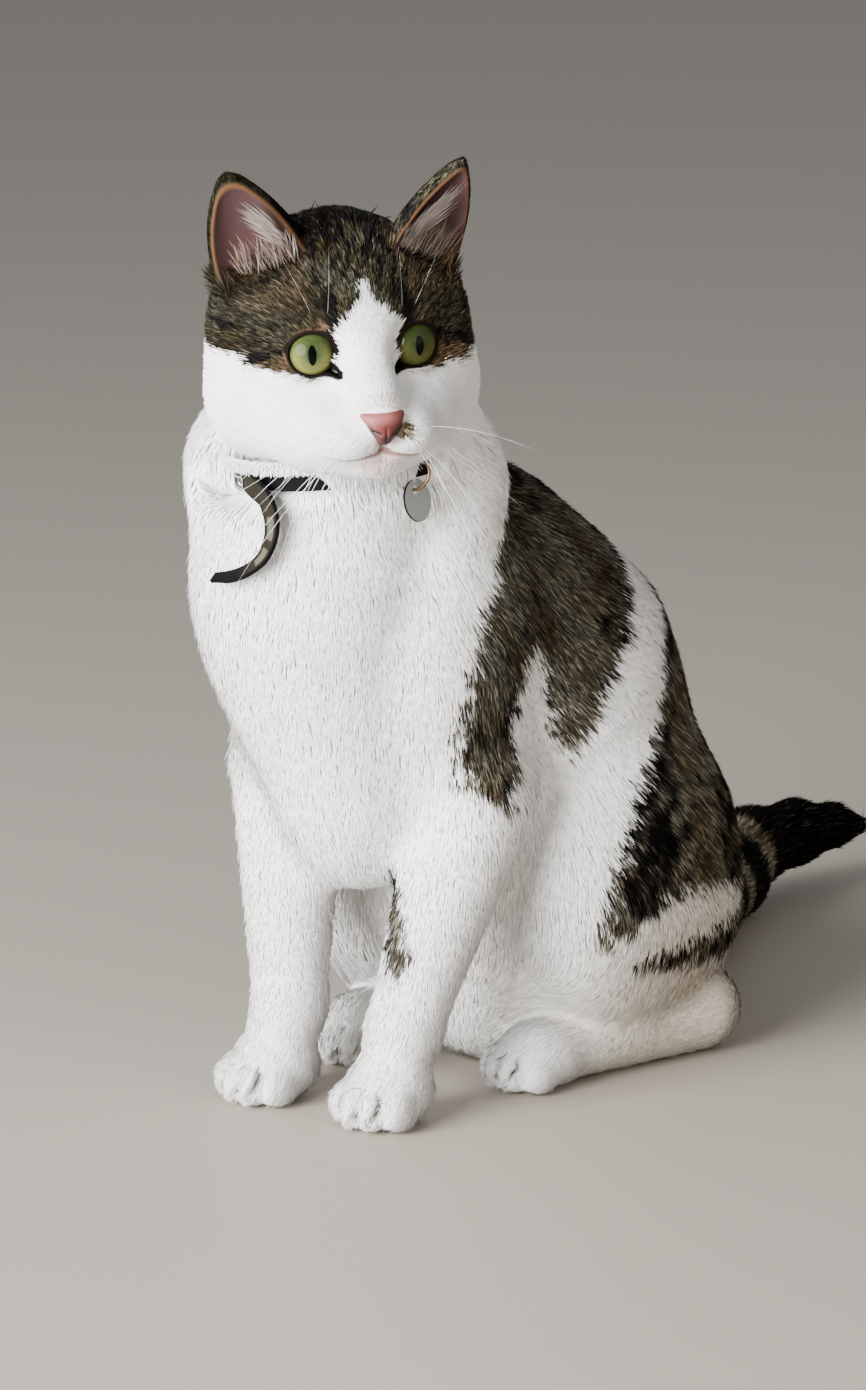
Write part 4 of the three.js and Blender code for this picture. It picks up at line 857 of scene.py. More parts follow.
def growth(p):
    q = toHead(p)
    x, y, z = p.T
    depth = coatDepth(p)
    onHead = headLevel(p) > 0
    d = mix(*grown["body"], 1 - ramp(depth, 1.0, 1.9))
    d = np.where(onHead, grown["head"][0] + grown["head"][1] * (1 - ramp(depth, 0.8, 1.8)), d)
    d = np.where(~onHead & (x < -20) & (y > 60), d * grown["farSide"], d)
    belly = (depth > 2) & (z < 60) & (np.abs(x - 12) < 26) & (y < 150) & (y > 78)
    d = np.where((z < 3) | belly, grown["hidden"], d)
    lid, upper, beside, far = aboutEye(q)
    d = np.where((lid < 1.0 + 0.8 * upper + 1.3 * beside) & (far < 18), 0, d)
    d = np.where((lipGroove(q) < 1.2) & (q[:, 1] < -34), 0, d)
    d = np.where((noseForm(q) < 0.8) & (q[:, 1] < -50), 0, d)
    for side in ears:
        l = inEar(q, side)
        cup = earForms(q, side)[1]
        near = (l[:, 2] > -4) & (np.abs(l[:, 0]) < 24) & (np.abs(l[:, 1]) < 22)
        d = np.where(near & (l[:, 2] > 4), grown["ear"], d)
        d = np.where(near & (cup < 1.5), 0, d)
    w = toCollar(p)
    underBand = (np.abs(w[:, 2]) < 4.6) & (np.hypot(w[:, 0], w[:, 1]) < 50) & (y < 30)
    return np.where(underBand, 0, d)


furMatter = matter("fur", roughness=0.75, tinted=True, Specular_IOR_Level=0.02)


# one thin solid for each row: a root, two shoulders and a tip
def blades(name, root, mid, tip, across, n, wide, tints, normals):
    count = len(root)
    half = across * (wide / 2)[:, None]
    v = np.stack([root, mid - half, mid + half, tip], 1).reshape(-1, 3)
    v[:, 2] = np.maximum(v[:, 2], 0.2)  # stays above the floor
    f = np.array([(0, 1, 2), (1, 3, 2), (0, 3, 1), (0, 2, 3)])
    faces = (np.arange(count)[:, None, None] * 4 + f[None]).reshape(-1, 3)
    # a small spot for each blade on one of six sheets, by the side that it grows on
    low, high = root.min(0), root.max(0)
    axis = np.argmax(np.abs(n), axis=1)
    row = np.arange(count)
    sheet = axis * 2 + (n[row, axis] > 0)
    at = (root - low) / np.maximum(high - low, 1e-6)
    uv = np.stack([at[row, (axis + 1) % 3], at[row, (axis + 2) % 3]], 1) * 0.94 + 0.03
    uv = (uv + np.stack([sheet % 3, sheet // 3], 1)) / vec(3, 2)
    spot = np.array([(0, -1), (-1, 0), (1, 0), (0, 1)]) * 0.0015
    patch = (uv[:, None] + spot[None]).reshape(-1, 2)
    tints, normals = tints.reshape(-1, 3), normals.reshape(-1, 3)
    return meshOf(name, v, faces, furMatter, tints, normals, patch)


tuft = {
    "count": 340000, "most": 47000,  # in all, and in one piece
    "long": (1.4, 3.1), "wide": (0.24, 0.17), "sway": 0.12, "spread": 0.07,
    "rootIn": 0.15, "midAt": 0.42, "strays": (0.05, 0.10), "strayHigh": (0.3, 1.3),
    "flecks": ([0.35, 0.9, 2.0], [0.4, 0.38, 0.22]), "ends": ([0.4, 1.0, 1.8], [0.35, 0.4, 0.25]),
}


def tufts(name, p, n):
    count = len(p)
    chance = rng.random(count)
    depth = coatDepth(p)
    q = toHead(p)
    onHead = headLevel(p) > 0
    lie = lieOf(p, n)
    across = np.cross(n, lie)
    clump = 0.5 * waves(p, 17, 8) + 0.5 * waves(p, 6, 9)
    bent = tuft["sway"] * clump * ramp(depth, 0.6, 2.5) + rng.normal(0, tuft["spread"], count)
    lie = unit(lie + across * bent[:, None])
    across = np.cross(n, lie)
    length = (tuft["long"][0] + tuft["long"][1] * depth) * rng.uniform(0.75, 1.25, count)
    lips = (q[:, 1] < -34) & onHead
    length = length * np.where(lips, mix(0.3, 1, ramp(lipGroove(q), 0.8, 6)), 1)
    wide = (tuft["wide"][0] + tuft["wide"][1] * depth) * rng.uniform(0.8, 1.2, count)
    shade = coatColour(p + lie * (length * 0.5)[:, None], chance)
    pale = shade.mean(-1) > 0.4
    wide = wide * np.where(pale, mix(1.1, 1.6, ramp(depth, 1.2, 1.8)), 1)
    uneven = rng.uniform(-0.10, 0.10, count) * np.where(pale, 0.4, 1)
    high = depth * (0.80 + 0.06 * waves(p, 7, 10) + uneven)
    high = high * np.where(pale & ~onHead, 0.62, 1)
    low = 1 - ramp(p[:, 2], 60, 150)
    stray = (rng.random(count) < tuft["strays"][0] + tuft["strays"][1] * low) & ~onHead
    high = high + stray * rng.uniform(*tuft["strayHigh"], count)
    wide = wide * np.where(stray, 0.5, 1)
    root = p - n * tuft["rootIn"]
    mid = p + lie * (length * tuft["midAt"])[:, None] + n * (high * 0.5 + 0.1)[:, None]
    tip = p + lie * length[:, None] + n * high[:, None]
    # light and dark tufts side by side, and darker or lighter ends on the dark ones
    fleck = rng.choice(tuft["flecks"][0], count, p=tuft["flecks"][1])
    # flecks on the head are lighter towards its shaded left side and darker on its lit right side: painted
    # light and shade
    brow = np.where(fleck > 0.5, mix(0.75, 2.1, ramp(q[:, 0], -30, 16)), 1)
    fleck = fleck * np.where(onHead, brow, 1)
    even = rng.uniform(0.97, 1.02, count)
    # some pale tufts low at the back are darker at random: painted shade between strands
    strandShade = mix(1, rng.uniform(0.72, 1.05, count), low * ramp(p[:, 1], 40, 80))
    glow = np.where(pale, even * strandShade, fleck * rng.uniform(0.8, 1.2, count))
    shade = shade * glow[:, None]
    ends = rng.choice(tuft["ends"][0], count, p=tuft["ends"][1])
    ends = np.where(pale, 1.0, ends * np.where(onHead & (ends > 1), 1.7, 1))[:, None]
    base = np.where(pale, 0.98, 0.8)[:, None]
    tints = np.stack([shade * base, shade, shade, np.minimum(shade * ends, 0.9)], 1)
    facing = n
    for side in ears:
        l = inEar(q, side)
        fringe = onHead * ramp(8 - l[:, 1], 0, 4) * (1 - ramp(np.abs(l[:, 2] + 1), 5, 9))
        fringe = fringe * (np.abs(l[:, 0]) < 22)
        front = (-ears[side]["rear"] * vec(side, 1, 1)) @ head["turn"].T
        facing = unit(blend(facing, front, 0.8 * fringe))
    bend = np.where(pale, 0.05, 0.15)[:, None]
    turned = [facing, unit(facing - across * bend), unit(facing + across * bend), unit(facing + lie * bend)]
    return blades(name, root, mid, tip, across, n, wide, tints, np.stack(turned, 1))


roots, rootNormals = scatter(tuft["count"], growth)
onHead = headLevel(roots) > 0
regions = (
    ("head_right", onHead & (toHead(roots)[:, 0] < 0)), ("head_left", onHead), ("tail", roots[:, 1] > 205),
    ("feet", roots[:, 2] < 45), ("side_left", roots[:, 0] > 8), ("side_right", np.full(len(roots), True)),
)
region = np.select([inside for _, inside in regions], np.arange(len(regions)))
for k, (name, _) in enumerate(regions):
    index = np.flatnonzero(region == k)
    pieces = max(1, math.ceil(len(index) / tuft["most"]))
    order = index[np.argsort(roots[index, 2])]
    for i, share in enumerate(np.array_split(order, pieces)):
        tufts(f"coat_{name}_{i + 1}", roots[share], rootNormals[share])
    report(f"coat {name}: {len(index)} tufts")

# eyes: balls with a painted iris and a slit pupil, measured in millimetres from its middle
iris = {
    "around": 96, "inset": 0.25, "byPupil": vec(0.032, 0.056, 0.020), "outer": vec(0.185, 0.172, 0.046),
    # the per-side light factor is painted shade on the eye in shadow, and the lid colour is a painted
    # shadow of the upper lid
    "from": 2.2, "wide": 6.4, "light": {1: 0.58, -1: 0.92}, "lidShadow": vec(0.28, 0.42, 0.42),
    "rim": vec(0.05, 0.065, 0.018), "rimAt": (6.9, 8.3), "slit": (1.65, 4.0),
    "pupil": vec(0.001, 0.001, 0.001), "white": vec(0.02, 0.014, 0.01), "whiteAt": (8.4, 8.9),
}


def eyeBall(side):
    turns = iris["around"]
    gaze = eye["gaze"] * vec(side, 1, 1)
    across = unit(np.cross(vec(0, 0, 1), gaze))
    up = np.cross(gaze, across)
    angle = np.concatenate([np.linspace(0, 1.1, 46)[1:], np.linspace(1.1, math.pi, 16)[1:-1]])
    phi = np.arange(turns) / turns * 2 * math.pi
    r = eye["radius"] - iris["inset"]
    x = np.sin(angle)[:, None] * np.cos(phi)[None]
    z = np.sin(angle)[:, None] * np.sin(phi)[None]
    f = np.broadcast_to(np.cos(angle)[:, None], x.shape)
    local = np.stack([x, z, f], -1).reshape(-1, 3)
    local = np.concatenate([vec((0, 0, 1)), local, vec((0, 0, -1))])
    u, w = local[:, 0] * r, local[:, 1] * r
    ball = (local[:, :1] * across + local[:, 1:2] * up + local[:, 2:] * gaze) * r
    ball = ball + eye["centre"] * vec(side, 1, 1)
    last = len(ball) - 1
    faces = []
    for i in range(len(angle) - 1):
        for j in range(turns):
            a, b = 1 + i * turns + j, 1 + i * turns + (j + 1) % turns
            faces.append((a, a + turns, b + turns, b))
    faces = np.array(faces)
    fan = [(0, 1 + j, 1 + (j + 1) % turns) for j in range(turns)]
    fan += [(last, last - turns + (j + 1) % turns, last - turns + j) for j in range(turns)]
    faces = np.concatenate([faces[:, :3], faces[:, [0, 2, 3]], np.array(fan)])
    d = np.hypot(u, w)
    around = np.arctan2(w, u)
    fibre = 0.5 * np.sin(around * 37 + 2 * np.sin(around * 5))
    fibre = fibre + 0.5 * np.sin(around * 71 + 3 * np.sin(around * 7 + d))
    pupil = np.hypot(u / iris["slit"][0], w / iris["slit"][1])
    outward = np.clip((d - iris["from"]) / iris["wide"], 0, 1)
    colour = blend(iris["byPupil"], iris["outer"], outward ** 0.8)
    # the eye on the shaded side is painted darker, and the iris's top carries a painted shadow from the
    # upper lid
    colour = colour * (1 + 0.2 * fibre)[:, None] * iris["light"][side]
    colour = blend(colour, colour * iris["lidShadow"], ramp(w, -2, 6))
    colour = blend(colour, iris["rim"], ramp(d, *iris["rimAt"]))
    colour = blend(iris["pupil"], colour, ramp(pupil, 0.93, 1.1))
    colour = blend(colour, iris["white"], ramp(d, *iris["whiteAt"]))
    return fromHead(ball), faces, colour


eyeMatter = matter(
    "eye", roughness=0.25, tinted=True, Coat_Weight=0.16, Coat_Roughness=0.02, Specular_IOR_Level=0.0)
for side, name in bothSides:
    p, f, colour = eyeBall(side)
    ball = meshOf(f"eye_ball_{name}", p, f, eyeMatter, colour)
    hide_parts(f"eye_{name}")

# nose leather with nostrils and a groove between them
leather = {
    "at": vec(0, -61, -27), "reach": 14, "cell": 0.42, "front": -56.5,
    "hole": ((2.9, -64.2, -29.0), (4.9, -62.6, -27.7), 0.75, 0.5),
    "groove": ((0, -65.2, -25.5), (0, -62.8, -34), 0.2, 0.35),
    # the slot and under lines mark painted shade in the nostrils and below the nose
    "slot": ((3.4, -64.0, -28.9), (8.6, -60, -25.4), 0.9, 0.35),
    "under": ((0, -64, -32.3), (0, -63, -34.5), 2.2, 2.6),
    # light and dark paint the nose's lit half and its shaded half, and the top is lit from above: painted
    # light and shade
    "light": vec(0.135, 0.019, 0.015), "dark": vec(0.060, 0.007, 0.0045), "top": vec(0.26, 0.075, 0.070),
    "spotAt": vec(8.2, -61, -27.8), "spot": vec(0.06, 0.024, 0.009),
}


def noseSurface(p):
    q = toHead(p)
    d = carve(noseForm(q), limb(folded(q), *leather["hole"]), 0.6)
    return carve(d, limb(q, *leather["groove"]), 0.8)


noseAt = fromHead(leather["at"])
noseLow, noseHigh = noseAt - leather["reach"], noseAt + leather["reach"]
p, n, f = netOver(
    noseSurface, noseLow, noseHigh, leather["cell"], lambda c: toHead(c)[:, 1] < leather["front"])
q = toHead(p)
# painted shade on the half of the nose away from the lamp, and painted light on its top, weaker on the
# shaded side
tone = blend(leather["light"], leather["dark"], ramp(q[:, 0] + 0.5 * waves(q, 5, 13), -4, 3))
tone = blend(tone, leather["top"], ramp(q[:, 2], -26.5, -22) * (1 - 0.6 * ramp(q[:, 0], 0, 6)))
# painted shade in the nostril slots and under the nose
hollow = np.minimum(limb(folded(q), *leather["slot"]), limb(q, *leather["under"]))
tone = blend(tone, paint["nostril"], 0.92 * (1 - ramp(hollow, 0, 1.3)))
tone = blend(tone, leather["spot"], 1 - ramp(size((q - leather["spotAt"]) / vec(1.5, 2, 1.1)), 1.0, 2.4))
noseMatter = matter("nose", roughness=0.55, tinted=True, bump=(2600, 0.35, 0.0003))
meshOf("nose", p, f, noseMatter, tone, n)


hairMatter = matter("whisker", colour=(0.85, 0.84, 0.82), roughness=0.4)


# tapered tubes of three sides along curved lines, each line a row of points
def hairs(name, lines, thick):
    sides, steps = 3, lines.shape[1]
    run = unit(np.gradient(lines, axis=1))
    a = unit(np.cross(run, vec(0.3, 0.2, 0.93)))
    b = np.cross(run, a)
    r = thick[:, None] * np.linspace(1, 0.12, steps)[None] / 2
    rings = []
    for k in range(sides):
        c, s = math.cos(k * 6.283 / sides), math.sin(k * 6.283 / sides)
        rings.append(lines + (a * c + b * s) * r[..., None])
    v = np.stack(rings, 2).reshape(-1, 3)
    faces = []
    for i in range(steps - 1):
        for k in range(sides):
            m = (k + 1) % sides
            here, after = i * sides, (i + 1) * sides
            faces += [(here + k, here + m, after + m), (here + k, after + m, after + k)]
    end = (steps - 1) * sides
    faces += [(0, 2, 1), (end, end + 1, end + 2)]
    whole = (np.arange(len(lines))[:, None, None] * steps * sides + np.array(faces)[None]).reshape(-1, 3)
    return meshOf(name, v, whole, hairMatter)


def sweep(root, way, length, droop, steps=9):
    t = np.linspace(0, 1, steps)[None, :, None]
    line = root[:, None] + way[:, None] * (length[:, None, None] * t)
    return line + vec(0, 0, -1) * (droop[:, None, None] * t * t)


whisker = {
    "rows": 4, "each": 4, "long": (40, 58), "last": (28, 40), "droop": (6, 22), "thick": (0.26, 0.36),
    "spread": 0.07,
}
browHair = {
    "roots": ((15, -38.5, 14), (20.5, -36, 15.5)), "ways": ((-0.04, -0.35, 1), (0.42, -0.25, 0.9)),
    "long": (24, 34), "droop": (-2, 3), "thick": (0.055, 0.08), "curl": 7,
}
for side, word in bothSides:
    mirror = vec(side, 1, 1)
    rows = []
    for row in range(whisker["rows"]):
        for col in range(whisker["each"]):
            root = vec(10.5 + 2.5 * col + 0.6 * row, -57.5 + 3.0 * col, -28 - 2.4 * row - 0.3 * col)
            way = vec(0.86 - 0.10 * row, 0.16 + 0.10 * col, -0.10 - 0.24 * row)
            way = unit(way + rng.normal(0, whisker["spread"], 3))
            length = rng.uniform(*whisker["long" if col < 3 else "last"])
            rows.append((root, way, length, rng.uniform(*whisker["droop"])))
    root, way, length, droop = [np.array(part) for part in zip(*rows)]
    lines = fromHead(sweep(root * mirror, way * mirror, length, droop))
    hairs(f"whiskers_{word}", lines, rng.uniform(*whisker["thick"], len(rows)))
    root = vec(*browHair["roots"]) * mirror
    way = unit(vec(*browHair["ways"])) * mirror
    lines = sweep(root, way, rng.uniform(*browHair["long"], 2), rng.uniform(*browHair["droop"], 2))
    lines = lines + vec(0, 1, 0) * (np.linspace(0, 1, 9) ** 2 * browHair["curl"])[None, :, None]
    hairs(f"brow_hairs_{word}", fromHead(lines), rng.uniform(*browHair["thick"], 2))


# hair all of one colour from root to tip
def hairSpread(name, root, mid, tip, n, wide, shade):
    across = unit(np.cross(n, unit(tip - root)))
    tints = np.repeat(shade[:, None], 4, 1)
    blades(name, root, mid, tip, across, n, wide, tints, np.repeat(n[:, None], 4, 1))


# hair in the ears: most fans out from the inner edge, some stands at the foot of the hollow
earHair = {
    "count": 420, "atFoot": 0.42, "long": (8, 17), "wide": (0.16, 0.3), "pale": vec(0.33, 0.28, 0.25),
    "brown": vec(0.15, 0.09, 0.055),
}
for side, word in bothSides:
    ear = ears[side]
    mirror = vec(side, 1, 1)
    count = earHair["count"]
    t = rng.random(count)
    lx = -ear["half"] * (0.80 - 0.25 * t) + rng.uniform(-1.0, 3.5, count)
    lz = 1 + 20 * t ** 1.3 + rng.uniform(-1, 1, count)
    low = rng.random(count) < earHair["atFoot"]
    lx = np.where(low, rng.uniform(-0.75, 0.45, count) * ear["half"], lx)
    lz = np.where(low, rng.uniform(-1, 3, count), lz)
    ly = np.where(low, rng.uniform(-8, 0, count), -7 + 4 * (1 - t) + rng.uniform(-1, 1.5, count))
    root = np.stack([lx, ly, lz], 1)
    way = [0.30 + 0.5 * rng.random(count), -0.05 + 0.15 * rng.random(count), 0.75 + 0.4 * rng.random(count)]
    lowWay = [rng.uniform(-0.35, 0.25, count), rng.uniform(-0.25, 0.05, count), np.ones(count)]
    way = unit(np.where(low[:, None], np.stack(lowWay, 1), np.stack(way, 1)))
    length = rng.uniform(*earHair["long"], count)
    mid = root + way * (length * 0.5)[:, None] + vec(0, -0.9, 0)
    tip = root + way * length[:, None] + vec(0.8, -0.4, 0)
    start, front = vec((0, 0, 0)), vec((0, -1, 0))
    root, mid, tip, start, front = [
        fromHead((l @ ear["axes"].T + ear["base"]) * mirror) for l in (root, mid, tip, start, front)]
    n = np.broadcast_to(unit(front - start), root.shape)
    shade = blend(earHair["pale"], earHair["brown"], low * rng.random(count))
    shade = shade * rng.uniform(0.8, 1.1, count)[:, None]
    hairSpread(f"ear_hair_{word}", root, mid, tip, n, rng.uniform(*earHair["wide"], count), shade)


def fromCollar(w):
    return np.asarray(w, float) @ collar["turn"].T + collar["at"]


# hair that hangs over the collar's upper edge, longest at the front left
ruff = {
    "count": 4200, "bearings": (-152, -6), "up": (4.2, 9.0), "far": 45.2, "short": (0.8, 2.4),
    "hanging": (8, 13), "out": (0.8, 2.2), "wide": (0.35, 0.6),
}
count = ruff["count"]
bearing = rng.uniform(*ruff["bearings"], count)
cover = ramp(bearing, -70, -58) * (1 - ramp(bearing, -24, -16))
upAt = rng.uniform(*ruff["up"], count)
far = ruff["far"] + 0.5 * (upAt - 4) + rng.uniform(0, 1.6, count)
ray = np.stack([np.cos(np.radians(bearing)), np.sin(np.radians(bearing))], 1)
ray3 = np.concatenate([ray, np.zeros((count, 1))], 1)
root = np.concatenate([ray * far[:, None], upAt[:, None]], 1)
drop = mix(rng.uniform(*ruff["short"], count), rng.uniform(*ruff["hanging"], count), cover)
out = mix(*ruff["out"], rng.random(count))
tip = np.concatenate([ray * (far + out)[:, None], (upAt - drop)[:, None]], 1)
mid = mix(root, tip, 0.5) + ray3 * 0.9
shade = paint["white"] * rng.uniform(0.95, 1.02, count)[:, None]
wide = rng.uniform(*ruff["wide"], count)
root, mid, tip = [fromCollar(w) for w in (root, mid, tip)]
hairSpread("coat_ruff", root, mid, tip, ray3 @ collar["turn"].T, wide, shade)
report("hairs made")


# faces between closed rings of points, from the last ring back to the first too, or with open ends
def strip(rings, closed=True):
    count, side = rings.shape[:2]
    faces = []
    for i in range(count if closed else count - 1):
        k = (i + 1) % count
        for j in range(side):
            m = (j + 1) % side
            faces.append((i * side + j, i * side + m, k * side + m, k * side + j))
    return rings.reshape(-1, 3), faces


def circle(count):
    return np.linspace(0, 2 * math.pi, count + 1)[:-1]


def onCollar(bearing, far, up=0.0):
    b = math.radians(bearing)
    return vec(math.cos(b) * far, math.sin(b) * far, up)


# the collar's band
ri, ro, h = collar["radius"] - collar["thick"], collar["radius"], collar["high"] / 2
section = ((ri, -h), (ro - 0.5, -h), (ro, 0.5 - h), (ro, h - 0.5), (ro - 0.5, h), (ri, h))
webMatter = matter(
    "webbing", colour=(0.003, 0.003, 0.0033), roughness=0.7, bump=(2600, 0.6, 0.0004),
    Specular_IOR_Level=0.06)
rings = [[fromCollar(onCollar(b, r, u)) for r, u in section] for b in np.linspace(0, 360, 161)[:-1]]
band = smallMesh("collar_band", *strip(np.array(rings)), webMatter, slot="webbing")
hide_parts("collar")


def ringOf(centre, a, b, radius, wire, around=48, sides=10):
    n = np.cross(a, b)
    out = []
    for t in circle(around):
        ray = a * math.cos(t) + b * math.sin(t)
        out.append([
            centre + ray * (radius + wire * math.cos(s)) + n * wire * math.sin(s) for s in circle(sides)])
    return strip(np.array(out))


steelMatter = matter("steel", colour=(0.55, 0.56, 0.55), roughness=0.25, Metallic=1.0)
brassMatter = matter("brass", colour=(0.24, 0.16, 0.07), roughness=0.32, Metallic=1.0)
discMatter = matter("disc", colour=(0.36, 0.36, 0.35), roughness=0.35, Metallic=0.25)
# the disc's rim is painted near black: painted shade on its edge
discEdgeShadeMatter = matter("discEdgeShade", colour=(0.004, 0.004, 0.004), roughness=0.6, Specular_IOR_Level=0.1)

# a small link on the band and the ring that hangs from it
link = {"bearing": -31, "radius": 45.7, "ring": 2.4, "wire": 0.8}
tagRing = {"ring": 7, "wire": 0.65, "held": 45.9, "lean": 0.04, "around": 72}
x, y = vec(1, 0, 0) @ collar["turn"].T, vec(0, 1, 0) @ collar["turn"].T
linkAt = fromCollar(onCollar(link["bearing"], link["radius"]))
loop = ringOf(linkAt, x, y, link["ring"], link["wire"])
smallMesh("collar_link", *loop, steelMatter, slot="steel", smooth=True)
view = {
    "azimuth": math.radians(35), "elevation": math.radians(12), "distance": 2400,
    "target": vec(11.66, 56.42, 163.0), "lens": 5856 / 866 * 36,
}
along = vec(math.cos(view["azimuth"]), math.sin(view["azimuth"]), 0)
level = vec(math.sin(view["azimuth"]), -math.cos(view["azimuth"]), 0)
up = vec(0, 0, 1)
ringOut = unit(along * math.sqrt(1 - tagRing["lean"] ** 2) - level * tagRing["lean"])
ringCentre = fromCollar(onCollar(link["bearing"], tagRing["held"])) + ringOut * tagRing["ring"]
loop = ringOf(ringCentre, ringOut, up, tagRing["ring"], tagRing["wire"], tagRing["around"])
ring = smallMesh("ring", *loop, brassMatter, slot="brass", smooth=True)
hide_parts("tag_ring")

# the plain disc on the ring
tagDisc = {
    "radius": 8.5, "thick": 1, "hole": 1.9, "offset": 4.3, "bevel": 0.2, "around": 96, "hangsAt": -80,
    "swing": 14, "turn": 54,
}
a = math.radians(tagDisc["hangsAt"])
holeAt = ringCentre + ringOut * tagRing["ring"] * math.cos(a) + up * tagRing["ring"] * math.sin(a)
a = math.radians(tagDisc["swing"])
hang = along * math.sin(a) - up * math.cos(a)
sideways = along * math.cos(a) + up * math.sin(a)
a = math.radians(tagDisc["turn"])
discFace = level * math.cos(a) + sideways * math.sin(a)
discAt = holeAt + hang * tagDisc["offset"]
discX, discY = -hang, np.cross(discFace, -hang)
outer, half, bevel = tagDisc["radius"], tagDisc["thick"] / 2, tagDisc["bevel"]
t = circle(tagDisc["around"])
rows = []
for radius, at, z in (  # from the hole's rim over both faces and back
        (tagDisc["hole"], tagDisc["offset"], -half), (outer - bevel, 0, -half), (outer, 0, -half + bevel),
        (outer, 0, half - bevel), (outer - bevel, 0, half), (tagDisc["hole"], tagDisc["offset"], half)):
    rows.append(np.stack([radius * np.cos(t) + at, radius * np.sin(t), np.full(len(t), z)], 1))
rows = np.array(rows)
rows = rows[..., :1] * discX + rows[..., 1:2] * discY + rows[..., 2:] * discFace + discAt
disc = smallMesh("disc", *strip(rows), discMatter, slot="disc")
# the rim's faces take the near-black painted shade
disc.data.materials.append(discEdgeShadeMatter)
for polygon in disc.data.polygons:
    if polygon.index // len(t) in (1, 2, 3):
        polygon.material_index = 1
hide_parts("tag_disc")


# a box with round corners, as a closed line
def boxFrame(wide, high, r, steps=6):
    x, y = wide / 2 - r, high / 2 - r
    line = []
    for cx, cy, start in ((x, y, 0), (-x, y, 90), (-x, -y, 180), (x, -y, 270)):
        for k in range(steps + 1):
            t = math.radians(start + 90 * k / steps)
            line.append((cx + r * math.cos(t), cy + r * math.sin(t)))
    return np.array(line)


# the buckle's frame and its pin
buckle = {
    "bearing": -127, "wide": 13, "high": 11, "bar": 1.6, "thick": 1.4, "pin": 0.5, "stand": 44.85,
    "corner": 2, "innerCorner": 0.8,
}
outline = boxFrame(buckle["wide"], buckle["high"], buckle["corner"])
bars = 2 * buckle["bar"]
inside = boxFrame(buckle["wide"] - bars, buckle["high"] - bars, buckle["innerCorner"])
rows = []
for flat, z in ((inside, 0), (outline, 0), (outline, buckle["thick"]), (inside, buckle["thick"])):
    rows.append(np.concatenate([flat, np.full((len(flat), 1), z)], 1))
rows = np.array(rows)
outward = onCollar(buckle["bearing"], 1)
bx, by, bz = vec(-outward[1], outward[0], 0), vec(0, 0, 1), outward
origin = onCollar(buckle["bearing"], buckle["stand"])
rows = fromCollar(rows[..., :1] * bx + rows[..., 1:2] * by + rows[..., 2:] * bz + origin)
buckleFrame = smallMesh("buckle_frame", *strip(rows), steelMatter, slot="steel")
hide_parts("buckle")
pin = []
r = buckle["pin"]
for reach in np.linspace(-buckle["wide"] / 2 + 0.8, buckle["wide"] / 2 - 0.8, 12):
    for t in circle(10):
        rise = buckle["thick"] - r + r * math.sin(t)
        pin.append(fromCollar(origin + bx * reach + by * r * math.cos(t) + bz * rise))
pin = np.reshape(pin, (12, 10, 3))
smallMesh("buckle_pin", *strip(pin, False), steelMatter, slot="steel", smooth=True)


# points on a smooth curve through the line's points
def catmull(line, t):
    k = np.clip((t * (len(line) - 1)).astype(int), 0, len(line) - 2)
    f = (t * (len(line) - 1) - k)[:, None]
    ext = np.concatenate([2 * line[:1] - line[1:2], line, 2 * line[-1:] - line[-2:-1]])
    a, b, c, d = ext[k], ext[k + 1], ext[k + 2], ext[k + 3]
    bend, twist = 2 * a - 5 * b + 4 * c - d, 3 * b - a - 3 * c + d
    return 0.5 * (2 * b + (c - a) * f + bend * f ** 2 + twist * f ** 3)


# the loose end of the strap, with its face and pale patches
strap = {
    "line": (
        (-16.4, -33.2, 262.6), (-9.8, -37.8, 261.4), (-2.2, -40.4, 258.1), (0.8, -40.6, 253.3),
        (2.4, -41, 247.5), (2.1, -41.9, 241.2), (-0.6, -43.3, 234.3), (-6.2, -44.6, 229.3),
        (-13.9, -44.9, 225.8), (-25.3, -43.1, 223.5),
    ),
    "wide": 9.4, "thick": 1.5, "turned": 0.3, "lean": 33, "steps": 90, "columns": 15,
    "face": vec(0.016, 0.014, 0.009), "patch": vec(0.085, 0.080, 0.056), "edge": vec(0.004, 0.004, 0.004),
}


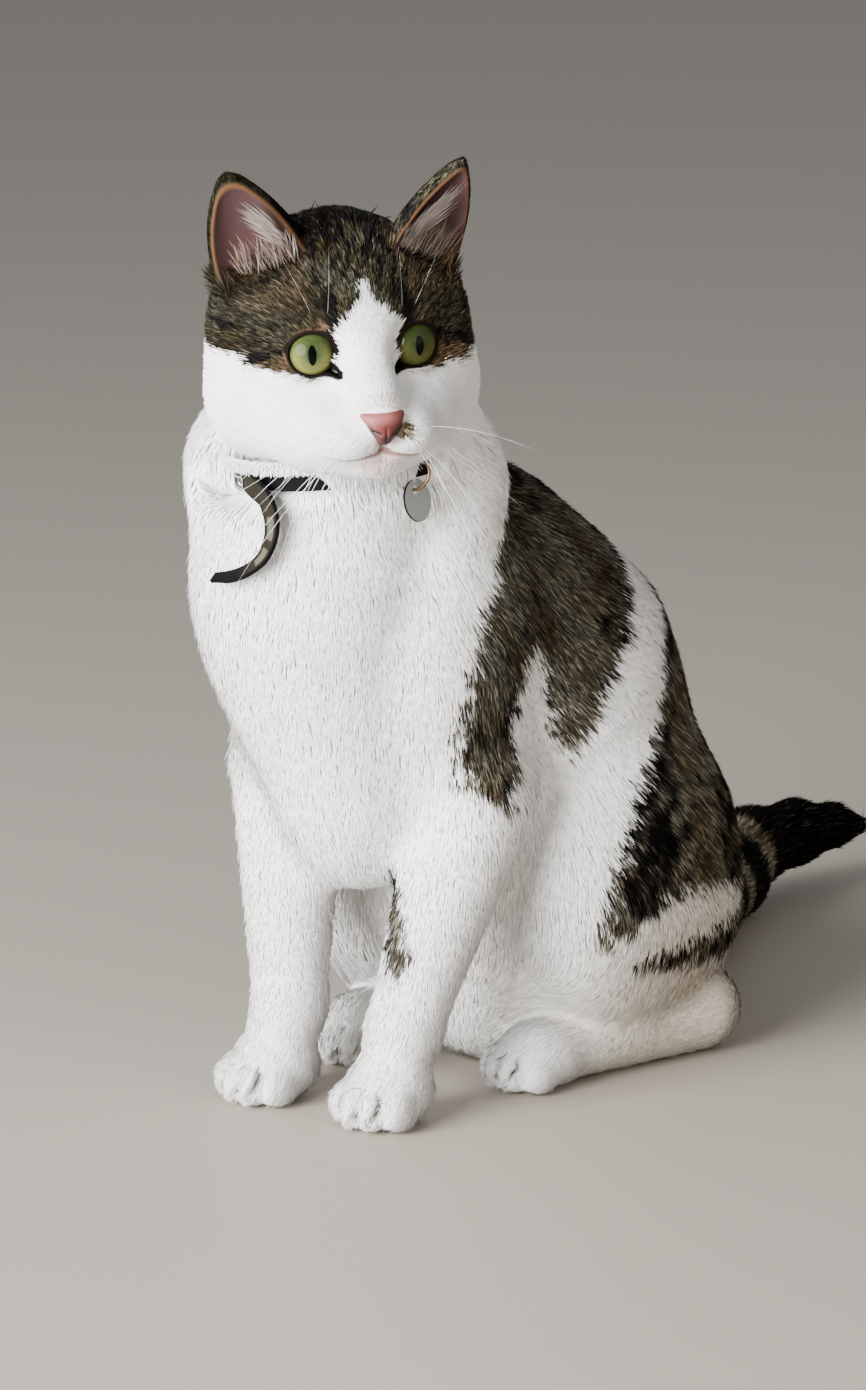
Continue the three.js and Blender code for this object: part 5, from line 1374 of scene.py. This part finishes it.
def ribbon():
    fine = catmull(vec(*strap["line"]), np.linspace(0, 1, 2001))
    run = np.concatenate([[0], np.cumsum(size(np.diff(fine, axis=0)))])
    run /= run[-1]
    t = np.linspace(0, 1, strap["steps"] + 1)
    c = np.stack([np.interp(t, run, fine[:, k]) for k in range(3)], 1)
    way = unit(np.gradient(c, axis=0))
    outFacing = level * math.cos(view["elevation"]) + up * math.sin(view["elevation"])
    side = unit(np.cross(way, outFacing))
    lean = math.radians(strap["lean"])
    openWay = outFacing * math.cos(lean) - side * math.sin(lean)
    raw = blend(collar["axis"][None], openWay, np.minimum(1, t / strap["turned"]))
    wide = unit(raw - (raw * way).sum(-1, keepdims=True) * way)
    flat = np.cross(way, wide)
    taper = 1 - 0.30 * ramp(t, 0.35, 0.75) - 0.2 * ramp(t, 0.8, 1.0)
    columns = strap["columns"]
    cols = np.concatenate([np.linspace(-1, 1, columns), np.linspace(1, -1, columns)])
    face = np.concatenate([np.full(columns, -1.0), np.full(columns, 1.0)])
    rings = c[:, None] + wide[:, None] * (cols * (strap["wide"] / 2))[None, :, None] * taper[:, None, None]
    rings = rings + flat[:, None] * (face * (strap["thick"] / 2))[None, :, None]
    v, f = strip(rings, False)
    ring = 2 * columns
    last = len(v) - ring
    f = f + [tuple(range(ring - 1, -1, -1)), tuple(range(last, last + ring))]
    across = np.tile(cols, len(t))
    down = np.repeat(t, ring)
    weave = 0.5 + 0.5 * np.sin(down * 210) * np.sin(across * 9)
    tint = np.broadcast_to(strap["face"], v.shape) * (0.75 + 0.5 * weave)[:, None]
    patches = (np.abs(np.sin(down * 17 + 0.6)) > 0.45) & (down > 0.3) & (down < 0.66)
    tint = np.where(((np.abs(across) < 0.45) & patches)[:, None], strap["patch"], tint)
    edge = ramp(np.abs(across), 0.72, 0.86)
    return v, f, blend(tint, strap["edge"], np.maximum(edge, ramp(down, 0.68, 0.80)))


v, f, tint = ribbon()
strapMatter = matter("strap", roughness=0.7, tinted=True, bump=(2400, 0.5, 0.0003), Specular_IOR_Level=0.06)
strapEnd = smallMesh("strap", v, f, strapMatter, tint, slot="strap_face")
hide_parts("strap_end")
report("collar set made")

# floor, camera and light
floorMatter = matter("floor", colour=(0.34, 0.30, 0.25), roughness=0.6)
bpy.ops.mesh.primitive_plane_add(size=12, location=(0, 0, -0.0002))
floor = bpy.context.object
floor.name = "floor"
floor.data.materials.append(floorMatter)

back = level * math.cos(view["elevation"]) + up * math.sin(view["elevation"])
data = bpy.data.cameras.new("camera")
data.sensor_fit = "HORIZONTAL"
data.sensor_width = 36
data.lens = view["lens"]
data.clip_end = 30
camera = bpy.data.objects.new("camera", data)
bpy.context.scene.collection.objects.link(camera)
camera.location = toFrame(view["target"] + back * view["distance"])
camera.rotation_euler = Vector(back).to_track_quat("Z", "Y").to_euler()
bpy.context.scene.camera = camera


def areaLight(name, direction, distance, width, power, colour):
    light = bpy.data.lights.new(name, "AREA")
    light.shape = "DISK"
    light.size = width
    light.energy = power
    light.color = colour
    lamp = bpy.data.objects.new(name, light)
    bpy.context.scene.collection.objects.link(lamp)
    way = Vector(direction).normalized()
    lamp.location = Vector(toFrame((0, 80, 200))) + way * distance
    lamp.rotation_euler = way.to_track_quat("Z", "Y").to_euler()


areaLight("window", (-0.14, -0.96, 0.24), 2.3, 2.0, 310, (0.97, 0.985, 1))
areaLight("room", (0.97, -0.25, 0.35), 2.8, 2.2, 24, (1, 0.90, 0.78))
world = bpy.data.worlds.new("studio")
bpy.context.scene.world = world
world.use_nodes = True
background = world.node_tree.nodes["Background"]
background.inputs["Color"].default_value = (0.62, 0.64, 0.67, 1)
background.inputs["Strength"].default_value = 0.62

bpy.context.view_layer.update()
report("done")
